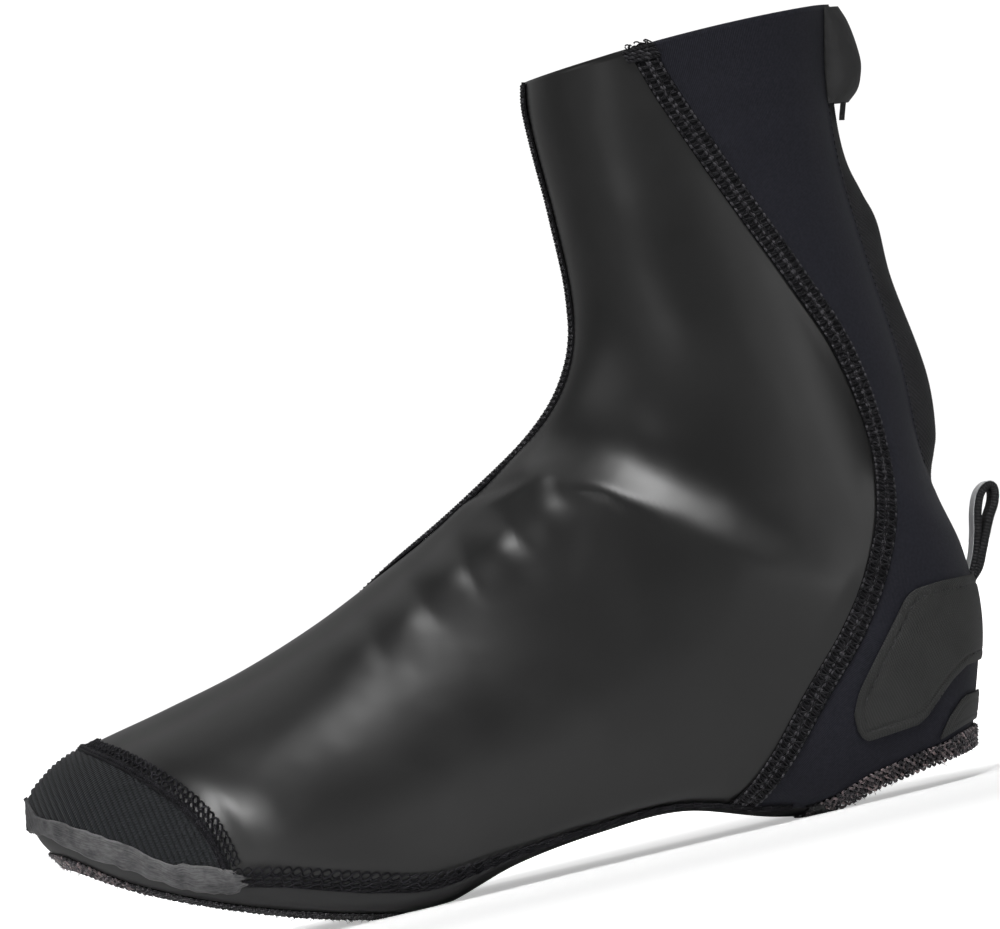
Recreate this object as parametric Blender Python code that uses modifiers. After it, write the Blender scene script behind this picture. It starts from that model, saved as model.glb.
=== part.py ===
# A left cycling overshoe: a hollow stretch cover that goes on over a road shoe and zips up at the back.
# The toe points along -X, the outer side of the foot faces -Y, and +Z is up. Tables are in millimetres.
import math

import bmesh
import bpy
import numpy as np

MM = 0.001

# Driving sizes
LENGTH = 294.0
BALL_WIDTH = 101.0
COLLAR_HEIGHT = 235.0
COLLAR_CROWN = 1.6
WALL = 2.0
SOLE_WALL = 2.0
GAP = 0.3
RIM_GAP = 0.5

# Seams are flat bands of thread, and the rims are serged edges
SEAM_THICK = 0.9
SIDE_SEAM_WIDTH = 7.0
TOE_SEAM_WIDTH = 6.0
FRONT_SEAM_WIDTH = 4.6
FEATHER_SEAM_WIDTH = 4.2
RIM_WIDTH = 5.0
RIM_PROUD = 0.6
OVERLAY_THICK = 0.9
GUARD_THICK = 1.0

# The tables are drawn for one size of foot, and graded to the driving sizes
DRAWN_LENGTH = 294.0
DRAWN_HEIGHT = 235.0
LENGTH_GRADE = LENGTH / DRAWN_LENGTH
HEIGHT_GRADE = COLLAR_HEIGHT / DRAWN_HEIGHT

# Pattern of the last: each row is a flat slice across the foot, from the sole line up to the instep line.
# The slices fan round the ankle until they lie level at the collar. Half widths are shares of the ball's.
SLICE_COLUMNS = (
    "top_x", "top_z", "sole_x", "sole_z", "outer", "inner", "swing", "widest", "sole_round", "top_round",
    "feather",
)
SLICES = {
    "toe_tip": (0.0, 50.0, 0.0, 50.0, 0.00, 0.00, 7.0, 0.42, 2.3, 2.2, 0.0),
    "toe_nose": (1.8, 58.2, 2.2, 43.8, 0.22, 0.22, 7.0, 0.42, 2.3, 2.2, 5.0),
    "toe_front": (6.2, 62.6, 7.0, 37.4, 0.43, 0.43, 6.8, 0.41, 2.4, 2.2, 8.0),
    "toe_mid": (14.0, 67.2, 15.2, 31.0, 0.62, 0.61, 6.3, 0.39, 2.7, 2.2, 8.6),
    "toe_back": (27.0, 70.6, 28.0, 23.6, 0.79, 0.77, 5.2, 0.36, 3.2, 2.2, 7.6),
    "toes": (48.0, 75.0, 49.5, 14.4, 0.93, 0.90, 3.8, 0.33, 3.9, 2.1, 7.4),
    "ball_front": (72.0, 80.8, 73.5, 6.0, 1.00, 0.96, 2.2, 0.30, 4.6, 2.0, 10.0),
    "ball": (96.0, 89.0, 97.0, 0.2, 1.01, 0.97, 1.0, 0.28, 5.0, 2.0, 9.6),
    "ball_back": (117.0, 98.2, 115.0, -0.9, 0.98, 0.93, 0.4, 0.26, 5.0, 2.0, 7.2),
    "waist_front": (136.6, 107.6, 139.5, 6.0, 0.92, 0.87, 0.0, 0.25, 5.0, 2.0, 3.4),
    "waist": (154.6, 117.8, 165.5, 9.4, 0.87, 0.82, -0.2, 0.25, 4.8, 2.0, 2.4),
    "instep": (170.4, 127.6, 191.5, 9.8, 0.84, 0.79, -0.2, 0.27, 4.4, 2.0, 2.4),
    "throat": (181.4, 137.2, 219.5, 1.4, 0.82, 0.78, 0.0, 0.32, 3.8, 2.0, 3.4),
    "heel_front": (188.2, 147.0, 249.0, -2.4, 0.80, 0.77, 0.0, 0.38, 3.2, 2.0, 3.4),
    "heel_corner": (191.8, 156.0, 276.4, 2.4, 0.78, 0.76, 0.0, 0.44, 2.7, 2.05, 3.0),
    "heel_low": (193.4, 164.8, 283.4, 19.0, 0.77, 0.76, 0.0, 0.47, 2.4, 2.1, 0.0),
    "heel": (194.2, 172.8, 291.0, 45.0, 0.77, 0.76, 0.0, 0.49, 2.25, 2.1, 0.0),
    "heel_top": (194.4, 180.4, 291.2, 67.0, 0.78, 0.77, 0.0, 0.50, 2.15, 2.1, 0.0),
    "ankle": (194.4, 188.0, 286.6, 91.0, 0.79, 0.78, 0.0, 0.50, 2.1, 2.1, 0.0),
    "ankle_top": (194.4, 197.4, 287.4, 122.0, 0.79, 0.78, 0.0, 0.50, 2.05, 2.1, 0.0),
    "shin_low": (194.1, 207.0, 284.8, 156.0, 0.79, 0.78, 0.0, 0.50, 2.0, 2.1, 0.0),
    "shin": (193.9, 216.6, 283.0, 187.0, 0.80, 0.79, 0.0, 0.50, 2.0, 2.1, 0.0),
    "shin_top": (194.1, 226.0, 285.0, 213.0, 0.82, 0.81, 0.0, 0.50, 2.0, 2.1, 0.0),
    "collar": (195.6, 233.2, 289.6, 235.0, 0.85, 0.84, 0.0, 0.50, 2.0, 2.1, 0.0),
}
SLICE_NAMES = list(SLICES)
LAST = len(SLICES) - 1
GRADES = {"top_x": LENGTH_GRADE, "sole_x": LENGTH_GRADE}
GRADES.update({name: HEIGHT_GRADE for name in ("top_z", "sole_z", "feather")})
PATTERN = np.array([SLICES[name] for name in SLICE_NAMES]) * [GRADES.get(name, 1.0) for name in SLICE_COLUMNS]
LOOP_SAMPLES = 161



def graded(points):
    return [(x * LENGTH_GRADE, z * HEIGHT_GRADE) for x, z in points]


# Lines on the side of the shoe, as x and z from the toe tip and the floor
HEEL_RIM_LINE = graded([
    (205.0, 0.2), (225.0, 2.5), (236.0, 4.3), (249.0, 8.4), (260.0, 10.4), (272.0, 12.2), (284.4, 15.2),
    (296.0, 19.0),
])
SIDE_SEAM_LINE = graded([
    (234.0, 235.5), (240.0, 217.0), (251.0, 188.0), (262.0, 159.0), (270.5, 134.0), (273.6, 108.0),
    (271.4, 86.0), (264.5, 68.0), (253.0, 51.0), (238.0, 35.0), (224.5, 20.0), (214.0, 11.0),
])
TOE_SEAM_TOP = 22.0 * LENGTH_GRADE
TOE_SEAM_LINE = graded([(30.8, 64.0), (39.8, 56.4), (47.4, 47.0), (52.2, 37.6), (54.0, 28.6)])
TOE_GUARD_TOP = graded([
    (-4.0, 56.2), (1.0, 55.6), (3.0, 52.6), (5.6, 50.0), (9.4, 47.6), (16.6, 42.7), (24.6, 38.1),
    (38.3, 31.1), (50.0, 27.0),
])
TOE_GUARD_END = graded([(60.2, 23.0), (58.6, 19.8), (60.0, 17.0)])
TOE_GUARD_LOW = graded([
    (39.2, 21.0), (28.0, 26.2), (19.9, 31.4), (13.3, 35.9), (6.9, 41.0), (1.2, 45.4), (-4.0, 47.0),
])
HEEL_PATCH_OUTLINE = graded([
    (300.0, 58.4), (281.0, 59.6), (274.0, 59.2), (269.4, 56.6), (260.8, 45.8), (250.2, 32.6), (247.2, 27.2),
    (247.4, 21.6), (250.4, 18.2), (269.0, 19.6), (272.6, 21.4), (281.6, 30.2), (286.0, 33.2), (300.0, 35.0),
])
LOWER_PATCH_OUTLINE = graded([
    (300.0, 25.2), (286.0, 24.6), (283.4, 23.4), (277.6, 19.4), (270.6, 13.6), (284.4, 16.0), (300.0, 18.0),
])
# The front seam leaves the instep line for the inner side over the toes
FRONT_SEAM_TURN = [(0.0, "collar"), (0.0, "waist_front"), (0.16, "ball"), (0.30, "toes"), (0.37, "toe_back")]
FRONT_SEAM_START = 4.72

# Openings underneath and at the back
CLEAT_FRONT = 4.0 * LENGTH_GRADE
CLEAT_BACK = 120.0 * LENGTH_GRADE
CLEAT_MARGIN = [
    ("toe_tip", 4.6), ("toe_front", 5.0), ("toe_back", 9.0), ("ball_front", 13.0), ("waist_front", 13.0),
]
HEEL_FRONT = 226.0 * LENGTH_GRADE
HEEL_FULL = 238.0 * LENGTH_GRADE
FEATHER_FRONT = 62.4 * LENGTH_GRADE
ZIP_BOTTOM = 86.0 * HEIGHT_GRADE
ZIP_FULL = 112.0 * HEIGHT_GRADE
ZIP_HALF = 11.0

# How far the zip stands out from the heel line, by height
ZIP_RIDGE = [
    (84.0, 0.6), (92.0, 3.0), (102.0, 5.4), (120.0, 5.8), (150.0, 4.2), (168.0, 5.2), (178.0, 3.4),
    (194.0, 0.9), (235.0, 0.8),
]


def smooth(rows, where):
    # Cubic through the rows of a table, at a place counted in rows
    rows = np.asarray(rows, dtype=float)
    count = len(rows)
    place = min(max(where, 0.0), count - 1.0)
    low = min(int(place), count - 2)
    share = place - low
    before = rows[low - 1] if low > 0 else 2.0 * rows[low] - rows[low + 1]
    after = rows[low + 2] if low + 2 < count else 2.0 * rows[low + 1] - rows[low]
    start, end = rows[low], rows[low + 1]
    slope_in, slope_out = 0.5 * (end - before), 0.5 * (after - start)
    square, cube = share * share, share ** 3
    return (
        (2 * cube - 3 * square + 1) * start
        + (cube - 2 * square + share) * slope_in
        + (3 * square - 2 * cube) * end
        + (cube - square) * slope_out
    )


def slice_at(u):
    return dict(zip(SLICE_COLUMNS, smooth(PATTERN, u)))


def half_loop(u, side):
    # Half a slice from the instep line down to the sole line: height along the slice, and reach to the side
    row = slice_at(u)
    tall = math.hypot(row["top_x"] - row["sole_x"], row["top_z"] - row["sole_z"])
    reach = (row["outer"] if side < 0 else row["inner"]) * BALL_WIDTH / 2
    turn = np.linspace(0.0, math.pi, LOOP_SAMPLES)
    cosine, sine = np.cos(turn), np.maximum(np.sin(turn), 0.0)
    top = cosine >= 0
    power = np.where(top, 2.0 / row["top_round"], 2.0 / row["sole_round"])
    low = row["widest"] * tall
    along = np.where(top, low + (tall - low) * np.abs(cosine) ** power, low - low * np.abs(cosine) ** power)
    wide = reach * sine ** power
    wide[0] = wide[-1] = 0.0
    steps = np.hypot(np.diff(along), np.diff(wide))
    run = np.concatenate(([0.0], np.cumsum(steps)))
    return row, tall, along, wide, run


def skin(u, v):
    # Outer face of the last: v is 0 on the instep line, and on the sole line -1 (outer side) or 1 (inner)
    if v > 1.0:
        v -= 2.0
    if v < -1.0:
        v += 2.0
    side = -1 if v < 0 else 1
    row, tall, along, wide, run = half_loop(u, side)
    place = abs(v) * run[-1]
    height = np.interp(place, run, along)
    reach = np.interp(place, run, wide)
    share = height / tall if tall > 1e-6 else 0.0
    crown = COLLAR_CROWN * max(u - LAST + 1.0, 0.0) * 4.0 * share * (1.0 - share)
    return np.array((
        row["sole_x"] + (row["top_x"] - row["sole_x"]) * share,
        row["swing"] + side * reach,
        row["sole_z"] + (row["top_z"] - row["sole_z"]) * share + crown,
    ))


def frame_at(u, v):
    # Point, direction along the foot, direction round the slice, and the outward normal
    du, dv = 0.02, 0.004
    ahead = skin(min(u + du, LAST), v)
    behind = skin(max(u - du, 0.0), v)
    along = ahead - behind
    across = skin(u, v + dv) - skin(u, v - dv)
    normal = np.cross(along, across)
    size = np.linalg.norm(normal)
    normal = normal / size if size > 1e-9 else np.array((-1.0, 0.0, 0.0))
    step = min(u + du, LAST) - max(u - du, 0.0)
    return skin(u, v), along / step, across / (2 * dv), normal


def shifted(u, v, direction, distance):
    # The place on the skin reached by going a distance in a direction that lies in it
    _, along, across, _ = frame_at(u, v)
    matrix = np.array((along, across)).T
    steps, _, _, _ = np.linalg.lstsq(matrix, direction * distance, rcond=None)
    return min(max(u + steps[0], 0.0), LAST), v + steps[1]


def v_from_height(u, side, height):
    # Where the slice reaches a height above the sole line
    _, _, along, _, run = half_loop(u, side)
    return side * np.interp(-height, -along, run) / run[-1] if run[-1] > 1e-6 else 0.0


def v_from_arc(u, side, arc):
    # Where the slice is an arc's length from the sole line
    _, _, _, _, run = half_loop(u, side)
    return side * (1.0 - min(arc / run[-1], 1.0)) if run[-1] > 1e-6 else 0.0


def arc_from_height(u, side, height):
    _, _, along, _, run = half_loop(u, side)
    return run[-1] - np.interp(-height, -along, run)


def locate(x, z):
    # The slice whose flat passes through a place in the side view, and the height along it
    def offside(u):
        row = slice_at(u)
        wide, tall = row["top_x"] - row["sole_x"], row["top_z"] - row["sole_z"]
        return wide * (z - row["sole_z"]) - tall * (x - row["sole_x"])

    low, high = 0.2, float(LAST)
    start = offside(low)
    for _ in range(48):
        middle = 0.5 * (low + high)
        if offside(middle) * start > 0:
            low = middle
        else:
            high = middle
    u = 0.5 * (low + high)
    row = slice_at(u)
    ex, ez = row["top_x"] - row["sole_x"], row["top_z"] - row["sole_z"]
    tall = math.hypot(ex, ez)
    return u, ((x - row["sole_x"]) * ex + (z - row["sole_z"]) * ez) / tall


def on_side(x, z, side):
    u, height = locate(x, z)
    return u, v_from_height(u, side, height)


def u_where(column, value, low, high):
    # The slice between two rows where a column reaches a value
    first, last = float(SLICE_NAMES.index(low)), float(SLICE_NAMES.index(high))
    rising = slice_at(last)[column] > slice_at(first)[column]
    for _ in range(48):
        middle = 0.5 * (first + last)
        if (slice_at(middle)[column] < value) == rising:
            first = middle
        else:
            last = middle
    return 0.5 * (first + last)


def rim_height(u):
    # Height along a slice at which it crosses the heel rim's line
    row = slice_at(u)
    ex, ez = row["top_x"] - row["sole_x"], row["top_z"] - row["sole_z"]
    tall = math.hypot(ex, ez)
    xs, zs = np.array(HEEL_RIM_LINE, dtype=float).T
    for height in np.arange(0.0, 40.0, 0.1):
        if row["sole_z"] + ez * height / tall >= np.interp(row["sole_x"] + ex * height / tall, xs, zs):
            return height
    return 0.0


def feather_height(u):
    return slice_at(u)["feather"]


HEEL_OPEN = u_where("sole_x", HEEL_FRONT, "throat", "heel_front")
HEEL_ROUND = u_where("sole_x", HEEL_FULL, "throat", "heel_front")
HEEL_CORNER = SLICE_NAMES.index("heel_corner")
HEEL_SHUT = next(u for u in np.arange(HEEL_CORNER, HEEL_CORNER + 1, 0.002) if rim_height(u) < 0.05)
ZIP_START = u_where("sole_z", ZIP_BOTTOM, "heel_top", "ankle")
CLEAT_OPEN = u_where("sole_x", CLEAT_FRONT, "toe_nose", "toe_front")
CLEAT_SHUT = u_where("sole_x", CLEAT_BACK, "ball_back", "waist_front")


def zip_half(u):
    height = slice_at(u)["sole_z"]
    share = min(max((height - ZIP_BOTTOM) / (ZIP_FULL - ZIP_BOTTOM), 0.0), 1.0)
    return ZIP_HALF * math.sqrt(1.0 - (1.0 - share) ** 2)


def upper_edge(u, side):
    # Arc from the sole line to the edge of the upper
    if u <= HEEL_OPEN:
        return arc_from_height(u, side, feather_height(u))
    if u < HEEL_SHUT:
        return arc_from_height(u, side, max(rim_height(u), feather_height(u)) if u < 13.0 else rim_height(u))
    return zip_half(u) if u > ZIP_START else 0.0


def heel_edge(u, side):
    # Arc from the sole line to the heel opening
    if u <= HEEL_OPEN or u >= HEEL_SHUT:
        return 0.0
    share = min((u - HEEL_OPEN) / (HEEL_ROUND - HEEL_OPEN), 1.0)
    return arc_from_height(u, side, rim_height(u)) * math.sqrt(1.0 - (1.0 - share) ** 2)


def cleat_edge(u, side):
    # Arc from the sole line to the cleat opening
    if u <= CLEAT_OPEN or u >= CLEAT_SHUT:
        return 0.0
    share = abs(2.0 * (u - CLEAT_OPEN) / (CLEAT_SHUT - CLEAT_OPEN) - 1.0)
    stops = [float(SLICE_NAMES.index(name)) for name, _ in CLEAT_MARGIN]
    margin = np.interp(u, stops, [size for _, size in CLEAT_MARGIN])
    room = arc_from_height(u, side, feather_height(u)) - margin
    return max(room, 0.0) * (1.0 - share ** 7) ** 0.5


def spread(*stops):
    # Places from stop to stop, each stop given with the count of steps that lead to it
    places = [stops[0]]
    for end, steps in stops[1:]:
        start = places[-1]
        places += [start + (end - start) * (i + 1) / steps for i in range(steps)]
    return places


def rounded(start, end, steps):
    # Places that crowd towards both ends
    return [start + (end - start) * (0.5 - 0.5 * math.cos(math.pi * i / steps)) for i in range(steps + 1)]


def new_object(name, verts, faces, material, closed=True):
    mesh = bpy.data.meshes.new(name)
    mesh.from_pydata([tuple(c * MM for c in v) for v in verts], [], faces)
    shape = bmesh.new()
    shape.from_mesh(mesh)
    bmesh.ops.remove_doubles(shape, verts=shape.verts, dist=0.00002)
    if closed:
        bmesh.ops.recalc_face_normals(shape, faces=shape.faces)
        if shape.calc_volume(signed=True) < 0:
            bmesh.ops.reverse_faces(shape, faces=shape.faces)
    shape.to_mesh(mesh)
    shape.free()
    item = bpy.data.objects.new(name, mesh)
    mesh.materials.append(MATERIALS[material])
    PARTS.objects.link(item)
    return item


def grid_faces(rows, columns, start, ring=False):
    # Faces of a grid of points that look along the foot crossed with round the slice
    wrap = columns if ring else columns - 1
    faces = []
    for r in range(rows - 1):
        for c in range(wrap):
            here, beside = start + r * columns + c, start + r * columns + (c + 1) % columns
            faces.append((here, here + columns, beside + columns, beside))
    return faces


def lifted(u, v, height):
    point, _, _, normal = frame_at(u, v)
    return point + normal * height


def sheet(name, grid, thick, material, grow=-1):
    # A wall made from an open sheet of points, thickened inward or outward
    verts = [point for line in grid for point in line]
    item = new_object(name, verts, grid_faces(len(grid), len(grid[0]), 0), material, closed=False)
    solid = item.modifiers.new("Wall", "SOLIDIFY")
    solid.thickness = thick * MM
    solid.offset = grow
    solid.use_even_offset = True
    solid.use_quality_normals = True
    return item


def wall(name, grids, low, high, material, floor=False):
    # A wall between two heights over the skin, from grids of places that weld where they meet
    index, outer, inner, faces = {}, [], [], []
    for grid in grids:
        order = []
        for u, v in (place for line in grid for place in line):
            point = lifted(u, v, high)
            key = tuple(np.round(point, 2))
            if key not in index:
                index[key] = len(outer)
                outer.append(point)
                inner.append(lifted(u, v, low))
            order.append(index[key])
        for face in grid_faces(len(grid), len(grid[0]), 0):
            corners = list(dict.fromkeys(order[i] for i in face))
            if len(corners) > 2:
                faces.append(tuple(corners))
    count = len(outer)
    edges = {(a, b) for face in faces for a, b in zip(face, face[1:] + face[:1])}
    faces += [tuple(count + i for i in reversed(face)) for face in faces]
    faces += [(b, a, count + a, count + b) for a, b in edges if (b, a) not in edges]
    verts = outer + inner
    if floor:
        verts = [(p[0], p[1], max(p[2], 0.0)) for p in verts]
    return new_object(name, verts, faces, material)


def place_grid(rows, columns, first, last):
    # Places on the skin, row by row, between two places given for every row
    grid = []
    for u in rows:
        start, end = first(u), last(u)
        grid.append([(u, start + (end - start) * c / columns) for c in range(columns + 1)])
    return grid


def band(name, places, width, material, lift=GAP, thick=SEAM_THICK):
    # A flat strip of seam along places on the skin
    grid = []
    for (u, v), side in zip(places, path_sides(places)):
        grid.append([shifted(u, v, side, share * width) for share in (-0.5, 0.0, 0.5)])
    return wall(name, [grid], lift, lift + thick, material)


def side_path(line, side, count, crowd=1.0):
    # Places on the skin along a line of the side view, evenly spaced or crowded towards the line's start
    knots = np.array(line, dtype=float)
    fine = np.array([smooth(knots, w) for w in np.linspace(0, len(knots) - 1, 200)])
    run = np.concatenate(([0.0], np.cumsum(np.hypot(*np.diff(fine, axis=0).T))))
    stops = run[-1] * np.linspace(0, 1, count) ** crowd
    return [on_side(np.interp(s, run, fine[:, 0]), np.interp(s, run, fine[:, 1]), side) for s in stops]


def path_sides(places):
    # For each place of a path, the direction across the path that lies in the skin
    points = [skin(u, v) for u, v in places]
    sides = []
    for i, (u, v) in enumerate(places):
        run = points[min(i + 1, len(points) - 1)] - points[max(i - 1, 0)]
        side = np.cross(run, frame_at(u, v)[3])
        sides.append(side / np.linalg.norm(side))
    return sides


def rim(name, places, material):
    # A serged edge: a rounded band that runs round an opening just inside the panels' edge
    points = [skin(u, v) for u, v in places]
    count = len(points)
    middle = sum(points) / count
    section = [
        (0.0, 0.3), (0.12, 0.85), (0.3, 1.0), (0.7, 1.0), (0.88, 0.85), (1.0, 0.3), (0.86, 0.0), (0.14, 0.0),
    ]
    bottom, tall = -SOLE_WALL - 0.2, SOLE_WALL + 0.2 + RIM_PROUD
    verts = []
    for i, (u, v) in enumerate(places):
        run = points[(i + 1) % count] - points[i - 1]
        _, _, _, normal = frame_at(u, v)
        inward = np.cross(run, normal)
        inward /= np.linalg.norm(inward)
        if np.dot(inward, middle - points[i]) < 0:
            inward = -inward
        for across, up in section:
            p = points[i] + inward * (RIM_GAP + across * RIM_WIDTH) + normal * (bottom + up * tall)
            verts.append((p[0], p[1], max(p[2], 0.0)))
    ring = len(section)
    faces = []
    for i in range(count):
        for c in range(ring):
            a, b = i * ring, ((i + 1) % count) * ring
            faces.append((a + c, a + (c + 1) % ring, b + (c + 1) % ring, b + c))
    return new_object(name, verts, faces, material)


def opening_loop(edge, stations):
    # Places round an opening: along the outer side, then back along the inner side
    outer = [(u, v_from_arc(u, -1, edge(u, -1))) for u in stations]
    inner = [(u, v_from_arc(u, 1, edge(u, 1))) for u in reversed(stations[1:-1])]
    return outer + inner


def cut_from_skin(name, grids, outline, thick, material):
    # A patch: sheets of the skin, kept inside an outline that is pushed through from the side
    count = len(outline)
    verts = [(x, y, z) for y in (-80.0, 80.0) for x, z in outline]
    faces = [tuple(range(count)), tuple(range(2 * count - 1, count - 1, -1))]
    faces += [(i, (i + 1) % count, count + (i + 1) % count, count + i) for i in range(count)]
    cutter = new_object(name + "_outline", verts, faces, material)
    PARTS.objects.unlink(cutter)
    CUTTERS.objects.link(cutter)
    cutter.hide_render = True
    cutter.display_type = "WIRE"
    patch = wall(name, grids, GAP, GAP + thick, material)
    keep = patch.modifiers.new("Outline", "BOOLEAN")
    keep.operation = "INTERSECT"
    keep.solver = "EXACT"
    keep.object = cutter
    return patch


def tube(name, path, section, material):
    # A closed bar: the section's points are set across each stop of a path of point, side and up
    verts = []
    for point, side, up in path:
        verts += [point + side * a + up * b for a, b in section]
    ring = len(section)
    faces = grid_faces(len(path), ring, 0, ring=True)
    faces.append(tuple(range(ring)))
    faces.append(tuple(range(len(verts) - 1, len(verts) - ring - 1, -1)))
    return new_object(name, verts, faces, material)


def paint(name, color, rough):
    material = bpy.data.materials.new(name)
    material.use_nodes = True
    shader = material.node_tree.nodes["Principled BSDF"]
    shader.inputs["Base Color"].default_value = (*color, 1.0)
    shader.inputs["Roughness"].default_value = rough
    return material


for item in list(bpy.data.objects):
    bpy.data.objects.remove(item)
PARTS = bpy.data.collections.new("cycling_overshoe")
CUTTERS = bpy.data.collections.new("cutters")
bpy.context.scene.collection.children.link(PARTS)
bpy.context.scene.collection.children.link(CUTTERS)
MATERIALS = {
    "shell": paint("shell", (0.03, 0.03, 0.031), 0.45),
    "sole": paint("sole", (0.026, 0.026, 0.027), 0.6),
    "ribbed": paint("ribbed", (0.02, 0.022, 0.023), 0.8),
    "guard": paint("guard", (0.08, 0.08, 0.082), 0.75),
    "thread": paint("thread", (0.03, 0.03, 0.033), 0.85),
    "patch": paint("patch", (0.028, 0.03, 0.028), 0.7),
    "webbing": paint("webbing", (0.015, 0.015, 0.016), 0.8),
    "tape": paint("tape", (0.018, 0.018, 0.02), 0.8),
    "chain": paint("chain", (0.03, 0.03, 0.032), 0.4),
    "metal": paint("metal", (0.1, 0.1, 0.1), 0.35),
}

CLEAT_STATIONS = rounded(CLEAT_OPEN, CLEAT_SHUT, 16)
HEEL_STATIONS = rounded(HEEL_OPEN, HEEL_SHUT, 14)

# Upper: two halves welded on the instep line, and on the heel line where nothing is open
FOOT_ROWS = spread(0.0, (CLEAT_OPEN, 3))[:-1] + CLEAT_STATIONS + spread(CLEAT_SHUT, (HEEL_OPEN, 7))[1:-1]
UPPER_ROWS = FOOT_ROWS + HEEL_STATIONS
ZIP_STATIONS = [ZIP_START + step for step in (0.03, 0.1, 0.2, 0.5)]
ZIP_STATIONS += spread(ZIP_STATIONS[-1], (LAST, 8))[1:]
UPPER_ROWS += spread(HEEL_SHUT, (ZIP_START, 4))[1:] + ZIP_STATIONS
wall(
    "upper",
    [
        place_grid(UPPER_ROWS, 10, lambda u: v_from_arc(u, -1, upper_edge(u, -1)), lambda u: 0.0),
        place_grid(UPPER_ROWS, 10, lambda u: 0.0, lambda u: v_from_arc(u, 1, upper_edge(u, 1))),
    ],
    -WALL, 0.0, "shell",
)


def sole_inner(u, side):
    return v_from_arc(u, side, max(cleat_edge(u, side), heel_edge(u, side)))


def sole_outer(u, side):
    return v_from_arc(u, side, max(arc_from_height(u, side, feather_height(u)) - GAP, 0.0))


# Sole panel: a strip down each side, joined under the toe and the waist
SOLE_ROWS = FOOT_ROWS + HEEL_STATIONS[:4]
wall(
    "sole_panel",
    [
        place_grid(SOLE_ROWS, 4, lambda u: sole_inner(u, -1), lambda u: sole_outer(u, -1)),
        place_grid(SOLE_ROWS, 4, lambda u: sole_outer(u, 1), lambda u: sole_inner(u, 1)),
    ],
    -SOLE_WALL, 0.0, "sole", floor=True,
)

# Serged rims round the two openings underneath
rim("cleat_rim", opening_loop(cleat_edge, CLEAT_STATIONS), "thread")
rim("heel_rim", opening_loop(heel_edge, HEEL_STATIONS), "thread")

# Toe: the seam behind the cap, the cap up to its edge, and the grey guard tape under it
TOE_ROWS = [u for u in FOOT_ROWS if u < 6.2]
TOE_GRIDS = [
    place_grid(TOE_ROWS, 10, lambda u: v_from_arc(u, -1, upper_edge(u, -1)), lambda u: 0.0),
    place_grid(TOE_ROWS, 10, lambda u: 0.0, lambda u: v_from_arc(u, 1, upper_edge(u, 1))),
]
seam_top = slice_at(u_where("top_x", TOE_SEAM_TOP, "toe_front", "toes"))
seam_half = side_path([(seam_top["top_x"], seam_top["top_z"])] + TOE_SEAM_LINE, -1, 9, crowd=2.0)
seam_path = list(reversed(seam_half)) + [(u, -v) for u, v in seam_half[1:]]
band("toe_seam", seam_path, TOE_SEAM_WIDTH, "thread")
cap_edge = []
for (u, v), side in zip(seam_half, path_sides(list(reversed(seam_path))[8:])):
    ahead = skin(*shifted(u, v, side, math.copysign(TOE_SEAM_WIDTH / 2 + 2 * GAP, -side[0])))
    cap_edge.append((ahead[0], ahead[2]))
cap_outline = [(x, z + GAP) for x, z in TOE_GUARD_TOP] + list(reversed(cap_edge))
cap_outline += [(cap_edge[0][0], 84.0), (-4.0, 84.0)]
cut_from_skin("toe_cap", TOE_GRIDS, cap_outline, OVERLAY_THICK, "ribbed")
guard_grid = []
for u in TOE_ROWS:
    line = []
    for side in (-1, 1):
        edge = arc_from_height(u, side, feather_height(u))
        full = half_loop(u, side)[4][-1]
        arcs = [0.0] + [min(max(edge + step, 0.0), full) for step in range(-12, 13, 3)] + [full]
        places = [(u, v_from_arc(u, side, arc)) for arc in arcs]
        line += places if side < 0 else reversed(places)
    guard_grid.append(line)
cut_from_skin("toe_guard", [guard_grid], TOE_GUARD_TOP + TOE_GUARD_END + TOE_GUARD_LOW, GUARD_THICK, "guard")

# Seams of the shell
band("side_seam_outer", side_path(SIDE_SEAM_LINE, -1, 34), SIDE_SEAM_WIDTH, "thread", lift=GAP + 0.15)
band("side_seam_inner", side_path(SIDE_SEAM_LINE, 1, 34), SIDE_SEAM_WIDTH, "thread", lift=GAP + 0.15)
turn_u = [float(SLICE_NAMES.index(name)) for _, name in reversed(FRONT_SEAM_TURN)]
turn_v = [v for v, _ in reversed(FRONT_SEAM_TURN)]
front_stops = spread(FRONT_SEAM_START, (9.0, 8), (12.0, 6), (LAST, 10))
front_path = [(u, float(np.interp(u, turn_u, turn_v))) for u in front_stops]
band("front_seam", front_path, FRONT_SEAM_WIDTH, "thread", thick=1.2)
FEATHER_START = u_where("sole_x", FEATHER_FRONT, "toes", "ball")
FEATHER_ROWS = [FEATHER_START] + [u for u in FOOT_ROWS if u > FEATHER_START] + HEEL_STATIONS[:1]
for name, side in (("feather_seam_outer", -1), ("feather_seam_inner", 1)):
    path = [(u, v_from_height(u, side, feather_height(u))) for u in FEATHER_ROWS]
    band(name, path, FEATHER_SEAM_WIDTH, "thread")

# Heel patches
HEEL_ROWS = [u for u in UPPER_ROWS if HEEL_OPEN <= u <= ZIP_START]
HEEL_GRIDS = [
    place_grid(HEEL_ROWS, 12, lambda u: v_from_arc(u, -1, upper_edge(u, -1)), lambda u: -0.4),
    place_grid(HEEL_ROWS, 12, lambda u: 0.4, lambda u: v_from_arc(u, 1, upper_edge(u, 1))),
]
cut_from_skin("heel_patch", HEEL_GRIDS, HEEL_PATCH_OUTLINE, OVERLAY_THICK, "patch")
cut_from_skin("heel_lower_patch", HEEL_GRIDS, LOWER_PATCH_OUTLINE, OVERLAY_THICK, "patch")


def ridge(u):
    zs, heights = np.array(ZIP_RIDGE).T
    return float(np.interp(slice_at(u)["sole_z"], zs * HEIGHT_GRADE, heights))


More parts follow.
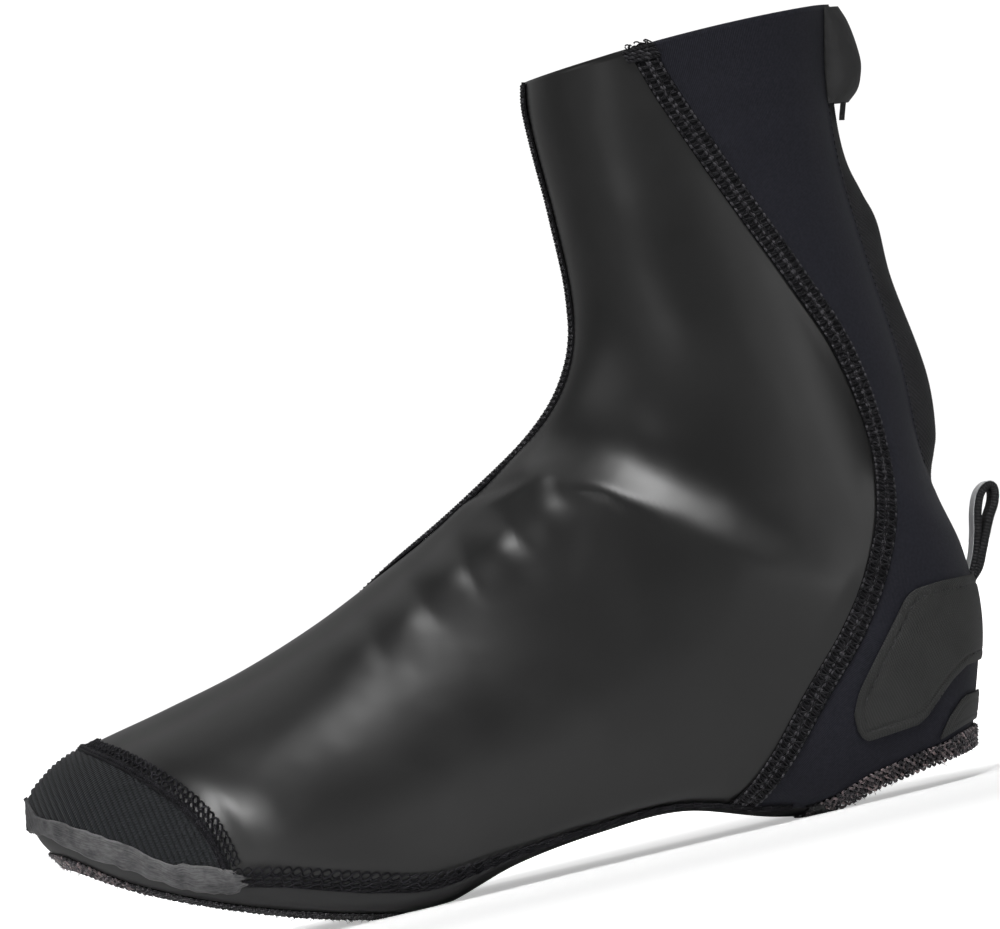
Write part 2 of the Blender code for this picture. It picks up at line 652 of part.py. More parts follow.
def tape_place(u, arc, side, drop):
    # The zip's tape swells from the panel's edge to the chain
    share = arc / zip_half(u)
    return lifted(u, v_from_arc(u, side, arc), ridge(u) * (1.0 - share ** 2) - drop)


# Zip: a tape each side, the chain between them, the slider and its tab under the hood
TAPE_ROWS = ZIP_STATIONS[1:]
CHAIN_ROWS = [ZIP_START + 0.05] + TAPE_ROWS
TAPE_DROP, TAPE_THICK, CHAIN_HALF = 0.7, 1.0, 1.9
for name, side in (("zip_tape_outer", -1), ("zip_tape_inner", 1)):
    grid = []
    for u in TAPE_ROWS:
        arcs = [zip_half(u) - GAP, 0.5 * (zip_half(u) + CHAIN_HALF), CHAIN_HALF + GAP]
        if side > 0:
            arcs.reverse()
        grid.append([tape_place(u, arc, side, TAPE_DROP) for arc in reversed(arcs)])
    sheet(name, grid, TAPE_THICK, "tape")
chain_section = [(CHAIN_HALF * math.cos(t), 1.1 * math.sin(t)) for t in np.linspace(0, 2 * math.pi, 9)[:-1]]
chain_path = []
for u in CHAIN_ROWS:
    _, _, across, normal = frame_at(u, 1.0)
    chain_path.append((tape_place(u, 0.0, 1, 1.2), across / np.linalg.norm(across), normal))
tube("zip_chain", chain_path, chain_section, "chain")

# Slider, tab and hood at the zip's top, in the plane of the heel line
SLIDER_HEIGHT = 222.0 * HEIGHT_GRADE
slider_u = u_where("sole_z", SLIDER_HEIGHT, "shin", "collar")
slider_at = tape_place(slider_u, 0.0, 1, 0.0)
_, back_up, _, back_out = frame_at(slider_u, 1.0)
back_up = back_up / np.linalg.norm(back_up)
across_y = np.array((0.0, 1.0, 0.0))
slider_section = [(-4.2, 0.6), (-3.0, 2.4), (3.0, 2.4), (4.2, 0.6), (4.2, 0.3), (-4.2, 0.3)]
slider_path = []
for along, share in ((-5.5, 0.7), (-3.0, 1.0), (3.0, 1.0), (5.5, 0.85)):
    slider_path.append((slider_at + back_up * along, across_y * share, back_out))
tube("zip_slider", slider_path, slider_section, "metal")
tab_section = [(-2.5, -0.8), (2.5, -0.8), (2.5, 0.8), (-2.5, 0.8)]
TAB_STOPS = [(3.0, 4.0, 0.7), (0.0, 4.4, 1.0), (-9.0, 4.0, 1.0), (-20.0, 2.8, 1.1), (-21.4, 2.7, 0.8)]
tab_path = []
for along, lift, share in TAB_STOPS:
    tab_path.append((slider_at + back_up * along + back_out * lift, across_y * share, back_out))
tube("zip_pull", tab_path, tab_section, "metal")
HOOD_HALF, HOOD_THICK = 13.0, 1.0
HOOD = [(206.0, 5.0), (209.0, 7.2), (213.0, 8.6), (218.0, 9.0), (224.0, 7.6), (230.0, 5.2), (234.4, 2.4)]
hood_grid = []
for height, swell in HOOD:
    u = u_where("sole_z", height * HEIGHT_GRADE, "shin", "collar")
    line = []
    for turn in np.linspace(0.0, math.pi, 13):
        place = v_from_arc(u, 1, 0.0) + math.cos(turn) * HOOD_HALF / half_loop(u, 1)[4][-1]
        line.append(lifted(u, place, GAP + swell * math.sin(turn) ** 0.8))
    hood_grid.append(list(reversed(line)))
sheet("zip_garage", hood_grid, HOOD_THICK, "patch", grow=1)

# Pull loop: webbing folded into a drop shape, in the plane of the heel line
LOOP_WIDTH, LOOP_THICK = 9.0, 2.0
LOOP_LINE = graded([
    (292.6, 60.2), (295.0, 68.0), (297.7, 76.0), (300.1, 82.4), (302.3, 84.8), (304.3, 82.6), (303.3, 76.4),
    (299.7, 68.2), (295.6, 60.2),
])
loop_grid = []
for where in np.linspace(0, len(LOOP_LINE) - 1, 25):
    x, z = smooth(LOOP_LINE, where)
    loop_grid.append([np.array((x, y, z)) for y in (-LOOP_WIDTH / 2, LOOP_WIDTH / 2)])
sheet("pull_loop", loop_grid, LOOP_THICK, "webbing", grow=0)

# The finished overshoe stands on its sole over the middle of its own box
bpy.context.view_layer.update()
graph = bpy.context.evaluated_depsgraph_get()
corners = []
for item in PARTS.objects:
    shape = item.evaluated_get(graph).to_mesh()
    corners += [tuple(v.co) for v in shape.vertices]
low, high = np.min(corners, axis=0), np.max(corners, axis=0)
centre = bpy.data.objects.new("overshoe", None)
PARTS.objects.link(centre)
for group in (PARTS, CUTTERS):
    for item in group.objects:
        if item is not centre:
            item.parent = centre
centre.location = (-(low[0] + high[0]) / 2, -(low[1] + high[1]) / 2, -low[2])
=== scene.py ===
# Looks of the left cycling overshoe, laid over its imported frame.
# The pattern below is in millimetres from the toe tip and the floor; the scene is in metres.
import math
from functools import lru_cache

import bpy
import numpy as np
from mathutils import Matrix, Vector


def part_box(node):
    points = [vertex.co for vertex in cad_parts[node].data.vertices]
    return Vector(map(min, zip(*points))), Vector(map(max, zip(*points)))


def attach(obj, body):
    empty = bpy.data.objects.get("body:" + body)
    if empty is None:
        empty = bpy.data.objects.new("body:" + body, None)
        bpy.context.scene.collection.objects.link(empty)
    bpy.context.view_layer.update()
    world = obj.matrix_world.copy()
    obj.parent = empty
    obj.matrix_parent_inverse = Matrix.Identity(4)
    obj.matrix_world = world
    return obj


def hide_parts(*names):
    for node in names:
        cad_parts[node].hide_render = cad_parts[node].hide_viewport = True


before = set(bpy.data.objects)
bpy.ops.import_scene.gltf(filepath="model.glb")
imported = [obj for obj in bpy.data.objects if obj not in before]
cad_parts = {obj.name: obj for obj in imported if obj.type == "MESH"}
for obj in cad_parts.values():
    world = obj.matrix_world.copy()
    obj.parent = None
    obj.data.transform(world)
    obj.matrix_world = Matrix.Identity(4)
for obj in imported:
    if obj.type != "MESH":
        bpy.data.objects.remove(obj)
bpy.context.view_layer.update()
bpy.ops.object.select_all(action="DESELECT")
rng = np.random.default_rng(17)
mm = 0.001
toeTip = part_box("upper")[0]
loopLow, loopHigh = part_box("pull_loop")
shift = np.array((toeTip.x / mm, (loopLow.y + loopHigh.y) / 2 / mm, 0.0))  # pattern to frame
print("frame loaded, pattern shift", np.round(shift, 2))

# The last: each row is a slice across the cover, fanning round the ankle up to the collar
last = {"ballWidth": 101.0, "collarCrown": 1.6, "wall": 2.0, "samples": 241}
sliceColumns = (
    "topX", "topZ", "soleX", "soleZ", "outer", "inner", "swing", "widest", "soleRound", "topRound", "feather",
)
sliceRows = {
    "toeTip": (0.0, 50.0, 0.0, 50.0, 0.00, 0.00, 7.0, 0.42, 2.3, 2.2, 0.0),
    "toeNose": (1.8, 58.2, 2.2, 43.8, 0.22, 0.22, 7.0, 0.42, 2.3, 2.2, 5.0),
    "toeFront": (6.2, 62.6, 7.0, 37.4, 0.43, 0.43, 6.8, 0.41, 2.4, 2.2, 8.0),
    "toeMid": (14.0, 67.2, 15.2, 31.0, 0.62, 0.61, 6.3, 0.39, 2.7, 2.2, 8.6),
    "toeBack": (27.0, 70.6, 28.0, 23.6, 0.79, 0.77, 5.2, 0.36, 3.2, 2.2, 7.6),
    "toes": (48.0, 75.0, 49.5, 14.4, 0.93, 0.90, 3.8, 0.33, 3.9, 2.1, 7.4),
    "ballFront": (72.0, 80.8, 73.5, 6.0, 1.00, 0.96, 2.2, 0.30, 4.6, 2.0, 10.0),
    "ball": (96.0, 89.0, 97.0, 0.2, 1.01, 0.97, 1.0, 0.28, 5.0, 2.0, 9.6),
    "ballBack": (117.0, 98.2, 115.0, -0.9, 0.98, 0.93, 0.4, 0.26, 5.0, 2.0, 7.2),
    "waistFront": (136.6, 107.6, 139.5, 6.0, 0.92, 0.87, 0.0, 0.25, 5.0, 2.0, 3.4),
    "waist": (154.6, 117.8, 165.5, 9.4, 0.87, 0.82, -0.2, 0.25, 4.8, 2.0, 2.4),
    "instep": (170.4, 127.6, 191.5, 9.8, 0.84, 0.79, -0.2, 0.27, 4.4, 2.0, 2.4),
    "throat": (181.4, 137.2, 219.5, 1.4, 0.82, 0.78, 0.0, 0.32, 3.8, 2.0, 3.4),
    "heelFront": (188.2, 147.0, 249.0, -2.4, 0.80, 0.77, 0.0, 0.38, 3.2, 2.0, 3.4),
    "heelCorner": (191.8, 156.0, 276.4, 2.4, 0.78, 0.76, 0.0, 0.44, 2.7, 2.05, 3.0),
    "heelLow": (193.4, 164.8, 283.4, 19.0, 0.77, 0.76, 0.0, 0.47, 2.4, 2.1, 0.0),
    "heel": (194.2, 172.8, 291.0, 45.0, 0.77, 0.76, 0.0, 0.49, 2.25, 2.1, 0.0),
    "heelTop": (194.4, 180.4, 291.2, 67.0, 0.78, 0.77, 0.0, 0.50, 2.15, 2.1, 0.0),
    "ankle": (194.4, 188.0, 286.6, 91.0, 0.79, 0.78, 0.0, 0.50, 2.1, 2.1, 0.0),
    "ankleTop": (194.4, 197.4, 287.4, 122.0, 0.79, 0.78, 0.0, 0.50, 2.05, 2.1, 0.0),
    "shinLow": (194.1, 207.0, 284.8, 156.0, 0.79, 0.78, 0.0, 0.50, 2.0, 2.1, 0.0),
    "shin": (193.9, 216.6, 283.0, 187.0, 0.80, 0.79, 0.0, 0.50, 2.0, 2.1, 0.0),
    "shinTop": (194.1, 226.0, 285.0, 213.0, 0.82, 0.81, 0.0, 0.50, 2.0, 2.1, 0.0),
    "collar": (195.6, 233.2, 289.6, 235.0, 0.85, 0.84, 0.0, 0.50, 2.0, 2.1, 0.0),
}
sliceNames = list(sliceRows)
pattern = np.array(list(sliceRows.values()))
lastRow = len(pattern) - 1.0


def smooth(rows, where):  # cubic through the rows of a table, at places counted in rows
    rows = np.asarray(rows, float)
    where = np.clip(np.asarray(where, float), 0.0, len(rows) - 1.0)
    low = np.minimum(where.astype(int), len(rows) - 2)
    share = (where - low)[..., None]
    padded = np.vstack((2 * rows[:1] - rows[1:2], rows, 2 * rows[-1:] - rows[-2:-1]))
    before, start, end, after = (padded[low + k] for k in range(4))
    slopeIn = 0.5 * (end - before)
    slopeOut = 0.5 * (after - start)
    square, cube = share ** 2, share ** 3
    turn = 3 * square - 2 * cube
    first = (1 - turn) * start + (cube - 2 * square + share) * slopeIn
    return first + turn * end + (cube - square) * slopeOut


def onRounded(make):  # slices are worked out once for each place
    kept = lru_cache(maxsize=None)(make)
    return lambda u, *more: kept(round(float(u), 5), *more)


@onRounded
def sliceAt(u):
    return dict(zip(sliceColumns, smooth(pattern, u)))


@onRounded
def halfLoop(u, side):  # half a slice from the instep line down to the sole line
    row = sliceAt(u)
    tall = math.hypot(row["topX"] - row["soleX"], row["topZ"] - row["soleZ"])
    reach = row["outer" if side < 0 else "inner"] * last["ballWidth"] / 2
    turn = np.linspace(0.0, math.pi, last["samples"])
    cosine, sine = np.cos(turn), np.maximum(np.sin(turn), 0.0)
    power = np.where(cosine >= 0, 2.0 / row["topRound"], 2.0 / row["soleRound"])
    low = row["widest"] * tall
    bow = np.abs(cosine) ** power
    along = np.where(cosine >= 0, low + (tall - low) * bow, low - low * bow)
    wide = reach * sine ** power
    wide[0] = wide[-1] = 0.0
    run = np.concatenate(([0.0], np.cumsum(np.hypot(np.diff(along), np.diff(wide)))))
    return row, tall, along, wide, run


def skinRow(u, v):  # points of one slice; v is 0 on the instep and -1 (outer) or 1 (inner) on the sole line
    v = np.atleast_1d(np.asarray(v, float))
    v = np.where(v > 1, v - 2, np.where(v < -1, v + 2, v))
    u = round(float(u), 5)
    points = np.empty(v.shape + (3,))
    for side in (-1, 1):
        pick = v < 0 if side < 0 else v >= 0
        row, tall, along, wide, run = halfLoop(u, side)
        place = np.abs(v[pick]) * run[-1]
        share = np.interp(place, run, along) / max(tall, 1e-6)
        crown = last["collarCrown"] * max(u - lastRow + 1.0, 0.0) * 4.0 * share * (1.0 - share)
        points[pick, 0] = row["soleX"] + (row["topX"] - row["soleX"]) * share
        points[pick, 1] = row["swing"] + side * np.interp(place, run, wide)
        points[pick, 2] = row["soleZ"] + (row["topZ"] - row["soleZ"]) * share + crown
    return points


def frameAt(u, v):  # point and outward normal
    ahead, behind = min(u + 0.02, lastRow), max(u - 0.02, 0.0)
    here, left, right = skinRow(u, [v, v - 0.004, v + 0.004])
    normal = np.cross(skinRow(ahead, v)[0] - skinRow(behind, v)[0], right - left)
    return here, normal / max(np.linalg.norm(normal), 1e-9)


def vFromHeight(u, side, height):
    _, _, along, _, run = halfLoop(u, side)
    return side * np.interp(-height, -along, run) / max(run[-1], 1e-6)


def vFromArc(u, side, arc):
    run = halfLoop(u, side)[4]
    return side * (1.0 - min(arc / max(run[-1], 1e-6), 1.0))


def arcFromHeight(u, side, height):
    _, _, along, _, run = halfLoop(u, side)
    return run[-1] - np.interp(-height, -along, run)


fanUs = np.linspace(0.15, lastRow, 2400)
fan = smooth(pattern, fanUs)
fanWide, fanTall = fan[:, 0] - fan[:, 2], fan[:, 1] - fan[:, 3]


def locate(x, z):  # the slice that passes through a place of the side view, and the height along it
    off = fanWide * (z - fan[:, 3]) - fanTall * (x - fan[:, 2])
    past = int(np.argmax(off >= 0)) if (off >= 0).any() else len(off) - 1
    before = max(past - 1, 0)
    share = np.clip(off[before] / min(off[before] - off[past], -1e-9), 0.0, 1.0)
    u = fanUs[before] + (fanUs[past] - fanUs[before]) * share
    wide, tall = (column[before] + (column[past] - column[before]) * share for column in (fanWide, fanTall))
    soleX, soleZ = fan[before, 2:4] + (fan[past, 2:4] - fan[before, 2:4]) * share
    return u, ((x - soleX) * wide + (z - soleZ) * tall) / math.hypot(wide, tall)


def onSide(x, z, side):
    u, height = locate(x, z)
    return u, float(vFromHeight(u, side, height))


def uWhere(column, value, low, high):
    us = np.linspace(sliceNames.index(low), sliceNames.index(high), 400)
    values = smooth(pattern, us)[:, sliceColumns.index(column)]
    order = np.argsort(values)
    return float(np.interp(value, values[order], us[order]))


# Lines of the pattern on the side of the shoe, as x and z
lines = {
    "heelRim": [
        (205, 0.2), (225, 2.5), (236, 4.3), (249, 8.4), (260, 10.4), (272, 12.2), (284.4, 15.2), (296, 19),
    ],
    "sideSeam": [
        (230.7, 234.4), (236.8, 217.0), (248.2, 188.0), (260.2, 159.0), (269.4, 134.0), (273.0, 108.0),
        (271.4, 86.0), (264.5, 68.0), (253.0, 51.0), (238.0, 35.0), (224.5, 20.0), (214.0, 11.0),
    ],
    "toeSeam": [(30.8, 64.0), (39.8, 56.4), (48.0, 47.3), (53.4, 38.0), (56.0, 29.0), (56.4, 25.4)],
    "guardTop": [
        (0.6, 58.2), (2.1, 57.6), (2.9, 54.0), (4.6, 51.8), (8.7, 50.0), (19.3, 44.4), (30.2, 36.9),
        (34.6, 33.1), (39.4, 30.6), (54.7, 25.6), (60.2, 23.2),
    ],
    "guardLow": [
        (0.6, 48.4), (2.5, 47.6), (7.1, 45.2), (14.7, 39.2), (20.2, 35.9), (26.7, 32.3), (32.1, 28.6),
        (39.4, 24.4), (46.1, 21.4), (54.7, 18.6), (60.0, 17.8),
    ],
}
openings = {
    "cleatFront": 4.0, "cleatBack": 120.0, "heelFront": 224.0, "heelFull": 231.0,
    "zipBottom": 86.0, "zipFull": 112.0, "zipHalf": 10.2, "toeSeamTop": 22.0, "seamEnd": 11.6,
}
cleatMargin = {"toeTip": 4.6, "toeFront": 5.0, "toeBack": 9.0, "ballFront": 13.0, "waistFront": 13.0}


def rimHeight(u):
    row = sliceAt(u)
    wide, tall = row["topX"] - row["soleX"], row["topZ"] - row["soleZ"]
    heights = np.linspace(0.0, 40.0, 401)
    xs, zs = np.array(lines["heelRim"], float).T
    share = heights / math.hypot(wide, tall)
    above = row["soleZ"] + tall * share >= np.interp(row["soleX"] + wide * share, xs, zs)
    return heights[np.argmax(above)] if above.any() else 0.0


heelOpen = uWhere("soleX", openings["heelFront"], "throat", "heelFront")
heelRound = uWhere("soleX", openings["heelFull"], "throat", "heelFront")
heelShut = next(u for u in np.arange(14.0, 15.0, 0.002) if rimHeight(u) < 0.05)
zipStart = uWhere("soleZ", openings["zipBottom"], "heelTop", "ankle")
cleatOpen = uWhere("soleX", openings["cleatFront"], "toeNose", "toeFront")
cleatShut = uWhere("soleX", openings["cleatBack"], "ballBack", "waistFront")


def featherV(u, side):
    return float(vFromHeight(u, side, sliceAt(u)["feather"]))


def zipHalf(u):
    bottom, full = openings["zipBottom"], openings["zipFull"]
    share = min(max((sliceAt(u)["soleZ"] - bottom) / (full - bottom), 0.0), 1.0)
    return openings["zipHalf"] * math.sqrt(1.0 - (1.0 - share) ** 2)


def cleatEdge(u, side):
    if not cleatOpen < u < cleatShut:
        return 0.0
    share = abs(2.0 * (u - cleatOpen) / (cleatShut - cleatOpen) - 1.0)
    margin = np.interp(u, [sliceNames.index(name) for name in cleatMargin], list(cleatMargin.values()))
    room = arcFromHeight(u, side, sliceAt(u)["feather"]) - margin
    return max(room, 0.0) * (1.0 - share ** 7) ** 0.5


def heelEdge(u, side):
    if not heelOpen < u < heelShut:
        return 0.0
    share = min((u - heelOpen) / (heelRound - heelOpen), 1.0)
    return arcFromHeight(u, side, rimHeight(u)) * math.sqrt(1.0 - (1.0 - share) ** 2)


def runAlong(points):  # distance along a line at each of its points
    return np.concatenate(([0.0], np.cumsum(np.linalg.norm(np.diff(points, axis=0), axis=1))))


def follow(stops, run, points):  # a line's points at other distances
    return np.stack([np.interp(stops, run, column) for column in points.T], -1)


def sideLine(line, count, crowd=1.0):  # points spaced along a smooth line of the side view
    fine = smooth(line, np.linspace(0, len(line) - 1, 300))
    run = runAlong(fine)
    return follow(run[-1] * np.linspace(0, 1, count) ** crowd, run, fine)


toeTop = openings["toeSeamTop"]
toeSeamLine = [(toeTop, sliceAt(uWhere("topX", toeTop, "toeFront", "toes"))["topZ"])] + lines["toeSeam"]
seamKnot = skinRow(openings["seamEnd"], featherV(openings["seamEnd"], -1))[0]
seamPoints = sideLine(lines["sideSeam"] + [(seamKnot[0], seamKnot[2])], 150)
seamPlaces = {side: [onSide(x, z, side) for x, z in seamPoints] for side in (-1, 1)}


def seamV(u, side):
    us, vs = np.array(seamPlaces[side]).T
    order = np.argsort(us)
    return float(np.interp(u, us[order], vs[order]))


def evenRows(start, end, count, columns=(-0.1, -0.4, -0.75)):  # slices about evenly spaced on the skin
    us = np.linspace(start, end, 500)
    rows = np.array([skinRow(u, columns) for u in us])
    steps = np.linalg.norm(np.diff(rows, axis=0), axis=2).mean(axis=1)
    run = np.concatenate(([0.0], np.cumsum(steps)))
    return np.interp(np.linspace(0, run[-1], count), run, us)


def gridNormals(points):
    normal = np.cross(np.gradient(points, axis=0), np.gradient(points, axis=1))
    size = np.linalg.norm(normal, axis=2, keepdims=True)
    return np.where(size > 1e-9, normal / np.maximum(size, 1e-9), (-1.0, 0.0, 0.0))


def lerp(start, end, count):
    return start + (end - start) * np.linspace(0, 1, count)


def ease(share):
    share = np.clip(share, 0.0, 1.0)
    return share * share * (3.0 - 2.0 * share)


# Making the pieces
def place(points):  # pattern millimetres to frame metres, nothing under the floor
    points = np.asarray(points, float) + shift
    points[..., 2] = np.maximum(points[..., 2], 0.0)
    return points * mm


def layGrid(name, points, tint=None):  # a grid laid on pattern points, its cloth UV in decimetres
    rows, columns = points.shape[:2]
    bpy.ops.object.select_all(action="DESELECT")
    bpy.ops.mesh.primitive_grid_add(x_subdivisions=rows - 1, y_subdivisions=columns - 1, size=1.0)
    item = bpy.context.object
    item.name = item.data.name = name
    flat = np.empty(len(item.data.vertices) * 3)
    item.data.vertices.foreach_get("co", flat)
    where = flat.reshape(-1, 3)[:, :2] + 0.5
    index = np.rint(where * (rows - 1, columns - 1)).astype(int)
    item.data.vertices.foreach_set("co", place(points[index[:, 0], index[:, 1]]).ravel())
    lengths = runAlong(points[:, columns // 2])
    widths = np.zeros((rows, columns))
    widths[:, 1:] = np.cumsum(np.linalg.norm(np.diff(points, axis=1), axis=2), axis=1)
    widths -= widths[:, columns // 2][:, None]
    corners = np.empty(len(item.data.loops), int)
    item.data.loops.foreach_get("vertex_index", corners)
    pick = index[corners]
    uv = np.stack((lengths[pick[:, 0]], widths[pick[:, 0], pick[:, 1]]), -1) / 100.0
    item.data.uv_layers[0].data.foreach_set("uv", uv.ravel())
    if tint is not None:
        own = item.data.attributes.new("tint", "FLOAT", "POINT")
        own.data.foreach_set("value", tint[index[:, 0], index[:, 1]])
    item.data.update()
    return item


def pickOnly(*items):
    bpy.ops.object.select_all(action="DESELECT")
    for item in items:
        item.select_set(True)
    bpy.context.view_layer.objects.active = items[0]


def applyAll(item):
    pickOnly(item)
    for modifier in list(item.modifiers):
        bpy.ops.object.modifier_apply(modifier=modifier.name)


def thicken(item, thick):  # inward from the laid face
    solid = item.modifiers.new("wall", "SOLIDIFY")
    solid.thickness = thick * mm
    solid.offset = -1.0
    solid.use_quality_normals = True
    applyAll(item)


def joinPieces(items, name, weld=0.03):
    pickOnly(*items)
    if len(items) > 1:
        bpy.ops.object.join()
    whole = bpy.context.object
    whole.name = whole.data.name = name
    bpy.ops.object.mode_set(mode="EDIT")
    bpy.ops.mesh.select_all(action="SELECT")
    bpy.ops.mesh.remove_doubles(threshold=weld * mm)
    bpy.ops.object.mode_set(mode="OBJECT")
    return whole


def dress(item, material, slot, *nodes):  # finish, body, slot (not used) and the frame's nodes that a piece stands for
    item.data.materials.clear()
    item.data.materials.append(material)
    pickOnly(item)
    bpy.ops.object.shade_smooth()
    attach(item, "root")
    if nodes:
        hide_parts(*nodes)
    print("piece", item.name, sum(len(face.vertices) - 2 for face in item.data.polygons), "triangles")


def threads(name, groups, sides=5):  # tubes in one mesh: a group is lines, a radius, an end taper and a shade
    verts, faces, tint = [], [], []
    count = 0
    for paths, radius, taper, *shade in groups:
        paths = np.asarray(paths, float)
        tubes, stops = paths.shape[:2]
        run = np.gradient(paths, axis=1)
        run /= np.maximum(np.linalg.norm(run, axis=2, keepdims=True), 1e-9)
        guide = np.where(np.abs(run[..., 2:]) < 0.85, (0.0, 0.0, 1.0), (1.0, 0.0, 0.0))
        first = np.cross(run, guide)
        first /= np.linalg.norm(first, axis=2, keepdims=True)
        second = np.cross(run, first)
        share = np.linspace(0, 1, stops)
        girth = radius * (taper + (1 - taper) * np.minimum(1.0, np.sin(math.pi * share) * 1.6))
        turn = 2 * math.pi * np.arange(sides) / sides
        ring = first[:, :, None] * np.cos(turn)[:, None] + second[:, :, None] * np.sin(turn)[:, None]
        verts.append((paths[:, :, None] + ring * girth[:, None, None]).reshape(-1, 3))
        knots = rng.random((tubes, max(stops // 9, 1)))
        own = knots[:, np.arange(stops) * knots.shape[1] // stops]
        tint.append(np.repeat((own * np.reshape(shade or 1.0, (-1, 1))).ravel(), sides))
        base = count + (np.arange(tubes) * stops * sides)[:, None, None]
        step = (np.arange(stops - 1) * sides)[:, None]
        here, beside = np.arange(sides), (np.arange(sides) + 1) % sides
        low = base + step
        quads = np.stack((low + here, low + beside, low + sides + beside, low + sides + here), -1)
        faces += quads.reshape(-1, 4).tolist()
        caps = base[:, :, 0] + here
        faces += caps[:, ::-1].tolist() + (caps + (stops - 1) * sides).tolist()
        count += tubes * stops * sides
    mesh = bpy.data.meshes.new(name)
    mesh.from_pydata(place(np.concatenate(verts)).tolist(), [], faces)
    mesh.attributes.new("tint", "FLOAT", "POINT").data.foreach_set("value", np.concatenate(tint))
    item = bpy.data.objects.new(name, mesh)
    bpy.context.scene.collection.objects.link(item)
    return item


def sew(name, groups, finish, *nodes, slot="thread", sides=5):
    dress(threads(name, groups, sides), finishes[finish], slot, *nodes)


class Track:  # a sewing path on the skin: its point, run, side and up at any distance along it
    def __init__(self, places, flip=1.0):
        self.flip = flip
        frames = [frameAt(u, v) for u, v in places]
        self.point = np.array([point for point, _ in frames])
        self.up = np.array([normal for _, normal in frames])
        run = np.gradient(self.point, axis=0)
        side = np.cross(run, self.up) * flip
        self.side = side / np.linalg.norm(side, axis=1, keepdims=True)
        self.way = runAlong(self.point)
        self.length = self.way[-1]

    def at(self, along, across=0.0, above=0.0):
        along, across, above = np.broadcast_arrays(along, across, above)
        point, side, up = (follow(along, self.way, part) for part in (self.point, self.side, self.up))
        return point + side * across[..., None] + up * above[..., None]

    def stops(self, pitch, start=0.0, end=0.0):
        count = int((self.length - start - end) / pitch)
        return start + (self.length - start - end) * (np.arange(count) + 0.5) / count


def stitchRow(track, stops, length, across, high, points=5):  # dashes that lie along a track
    share = np.linspace(-0.5, 0.5, points)
    return track.at(stops[:, None] + share * length, across, high * np.cos(share * math.pi) ** 0.6)


def rungs(track, stops, start, end, slant, high, points=5):  # threads that cross from one row to the next
    share = np.linspace(0, 1, points)
    across = start + (end - start) * share
    return track.at(stops[:, None] + slant * share, across, high * (0.45 + 0.55 * np.sin(math.pi * share)))


# two threads that cross and leave windows between them
def braid(track, start, end, pitch, middle, half, high, square=1.6, lean=0.0, steps=6):
    along = np.linspace(start, end, int((end - start) / pitch) * steps)
    wave = np.tanh(square * np.sin(math.pi * along / pitch)) / math.tanh(square)
    lift = high * (0.8 + 0.35 * np.abs(wave))
    middle, half = (np.asarray(part(along) if callable(part) else part) for part in (middle, half))
    legs = []
    for hand in (1.0, -1.0):
        legs.append(track.at(along + lean * hand * wave, middle + hand * half * wave, lift + 0.12 * hand))
    return np.stack(legs)


# Finishes
class Nodes:  # a node tree and short ways to wire it
    def __init__(self, tree):
        self.tree = tree

    def add(self, kind, **values):
        node = self.tree.nodes.new("ShaderNode" + kind)
        for key, value in values.items():
            if hasattr(node, key):
                setattr(node, key, value)
            else:
                node.inputs[key.replace("_", " ")].default_value = value
        return node

    def put(self, value, socket):  # a wire, or a plain value
        if isinstance(value, bpy.types.NodeSocket):
            self.tree.links.new(value, socket)
        else:
            socket.default_value = value

    def coords(self, kind="Object", scale=(1, 1, 1), turn=0.0):
        node = self.add("Mapping", Scale=scale, Rotation=(0, 0, math.radians(turn)))
        self.put(self.add("TexCoord").outputs[kind], node.inputs["Vector"])
        return node.outputs["Vector"]

    def noise(self, vector, scale, detail=2.0, rough=0.5):
        node = self.add("TexNoise", Scale=scale, Detail=detail, Roughness=rough)
        self.put(vector, node.inputs["Vector"])
        return node.outputs["Fac"]

    def bands(self, vector, pitch, axis="X", distort=0.0):  # stripes of a pitch in the coordinates' units
        node = self.add("TexWave", bands_direction=axis, Scale=math.pi / (10 * pitch), Distortion=distort)
        self.put(vector, node.inputs["Vector"])
        return node.outputs["Fac"]

    def axis(self, vector, name):
        node = self.add("SeparateXYZ")
        self.put(vector, node.inputs[0])
        return node.outputs[name]

    def ramp(self, factor, low, high, lowValue, highValue):
        node = self.add("MapRange", From_Min=low, From_Max=high, To_Min=lowValue, To_Max=highValue)
        self.put(factor, node.inputs["Value"])
        return node.outputs["Result"]

    def combine(self, operation, *values):
        node = self.add("Math", operation=operation)
        for value, socket in zip(values, node.inputs):
            self.put(value, socket)
        return node.outputs[0]

    def blend(self, factor, first, second):
        node = self.add("Mix", data_type="RGBA")
        self.put(factor, node.inputs[0])
        for color, socket in ((first, node.inputs[6]), (second, node.inputs[7])):
            self.put((*color, 1.0) if isinstance(color, tuple) else color, socket)
        return node.outputs[2]


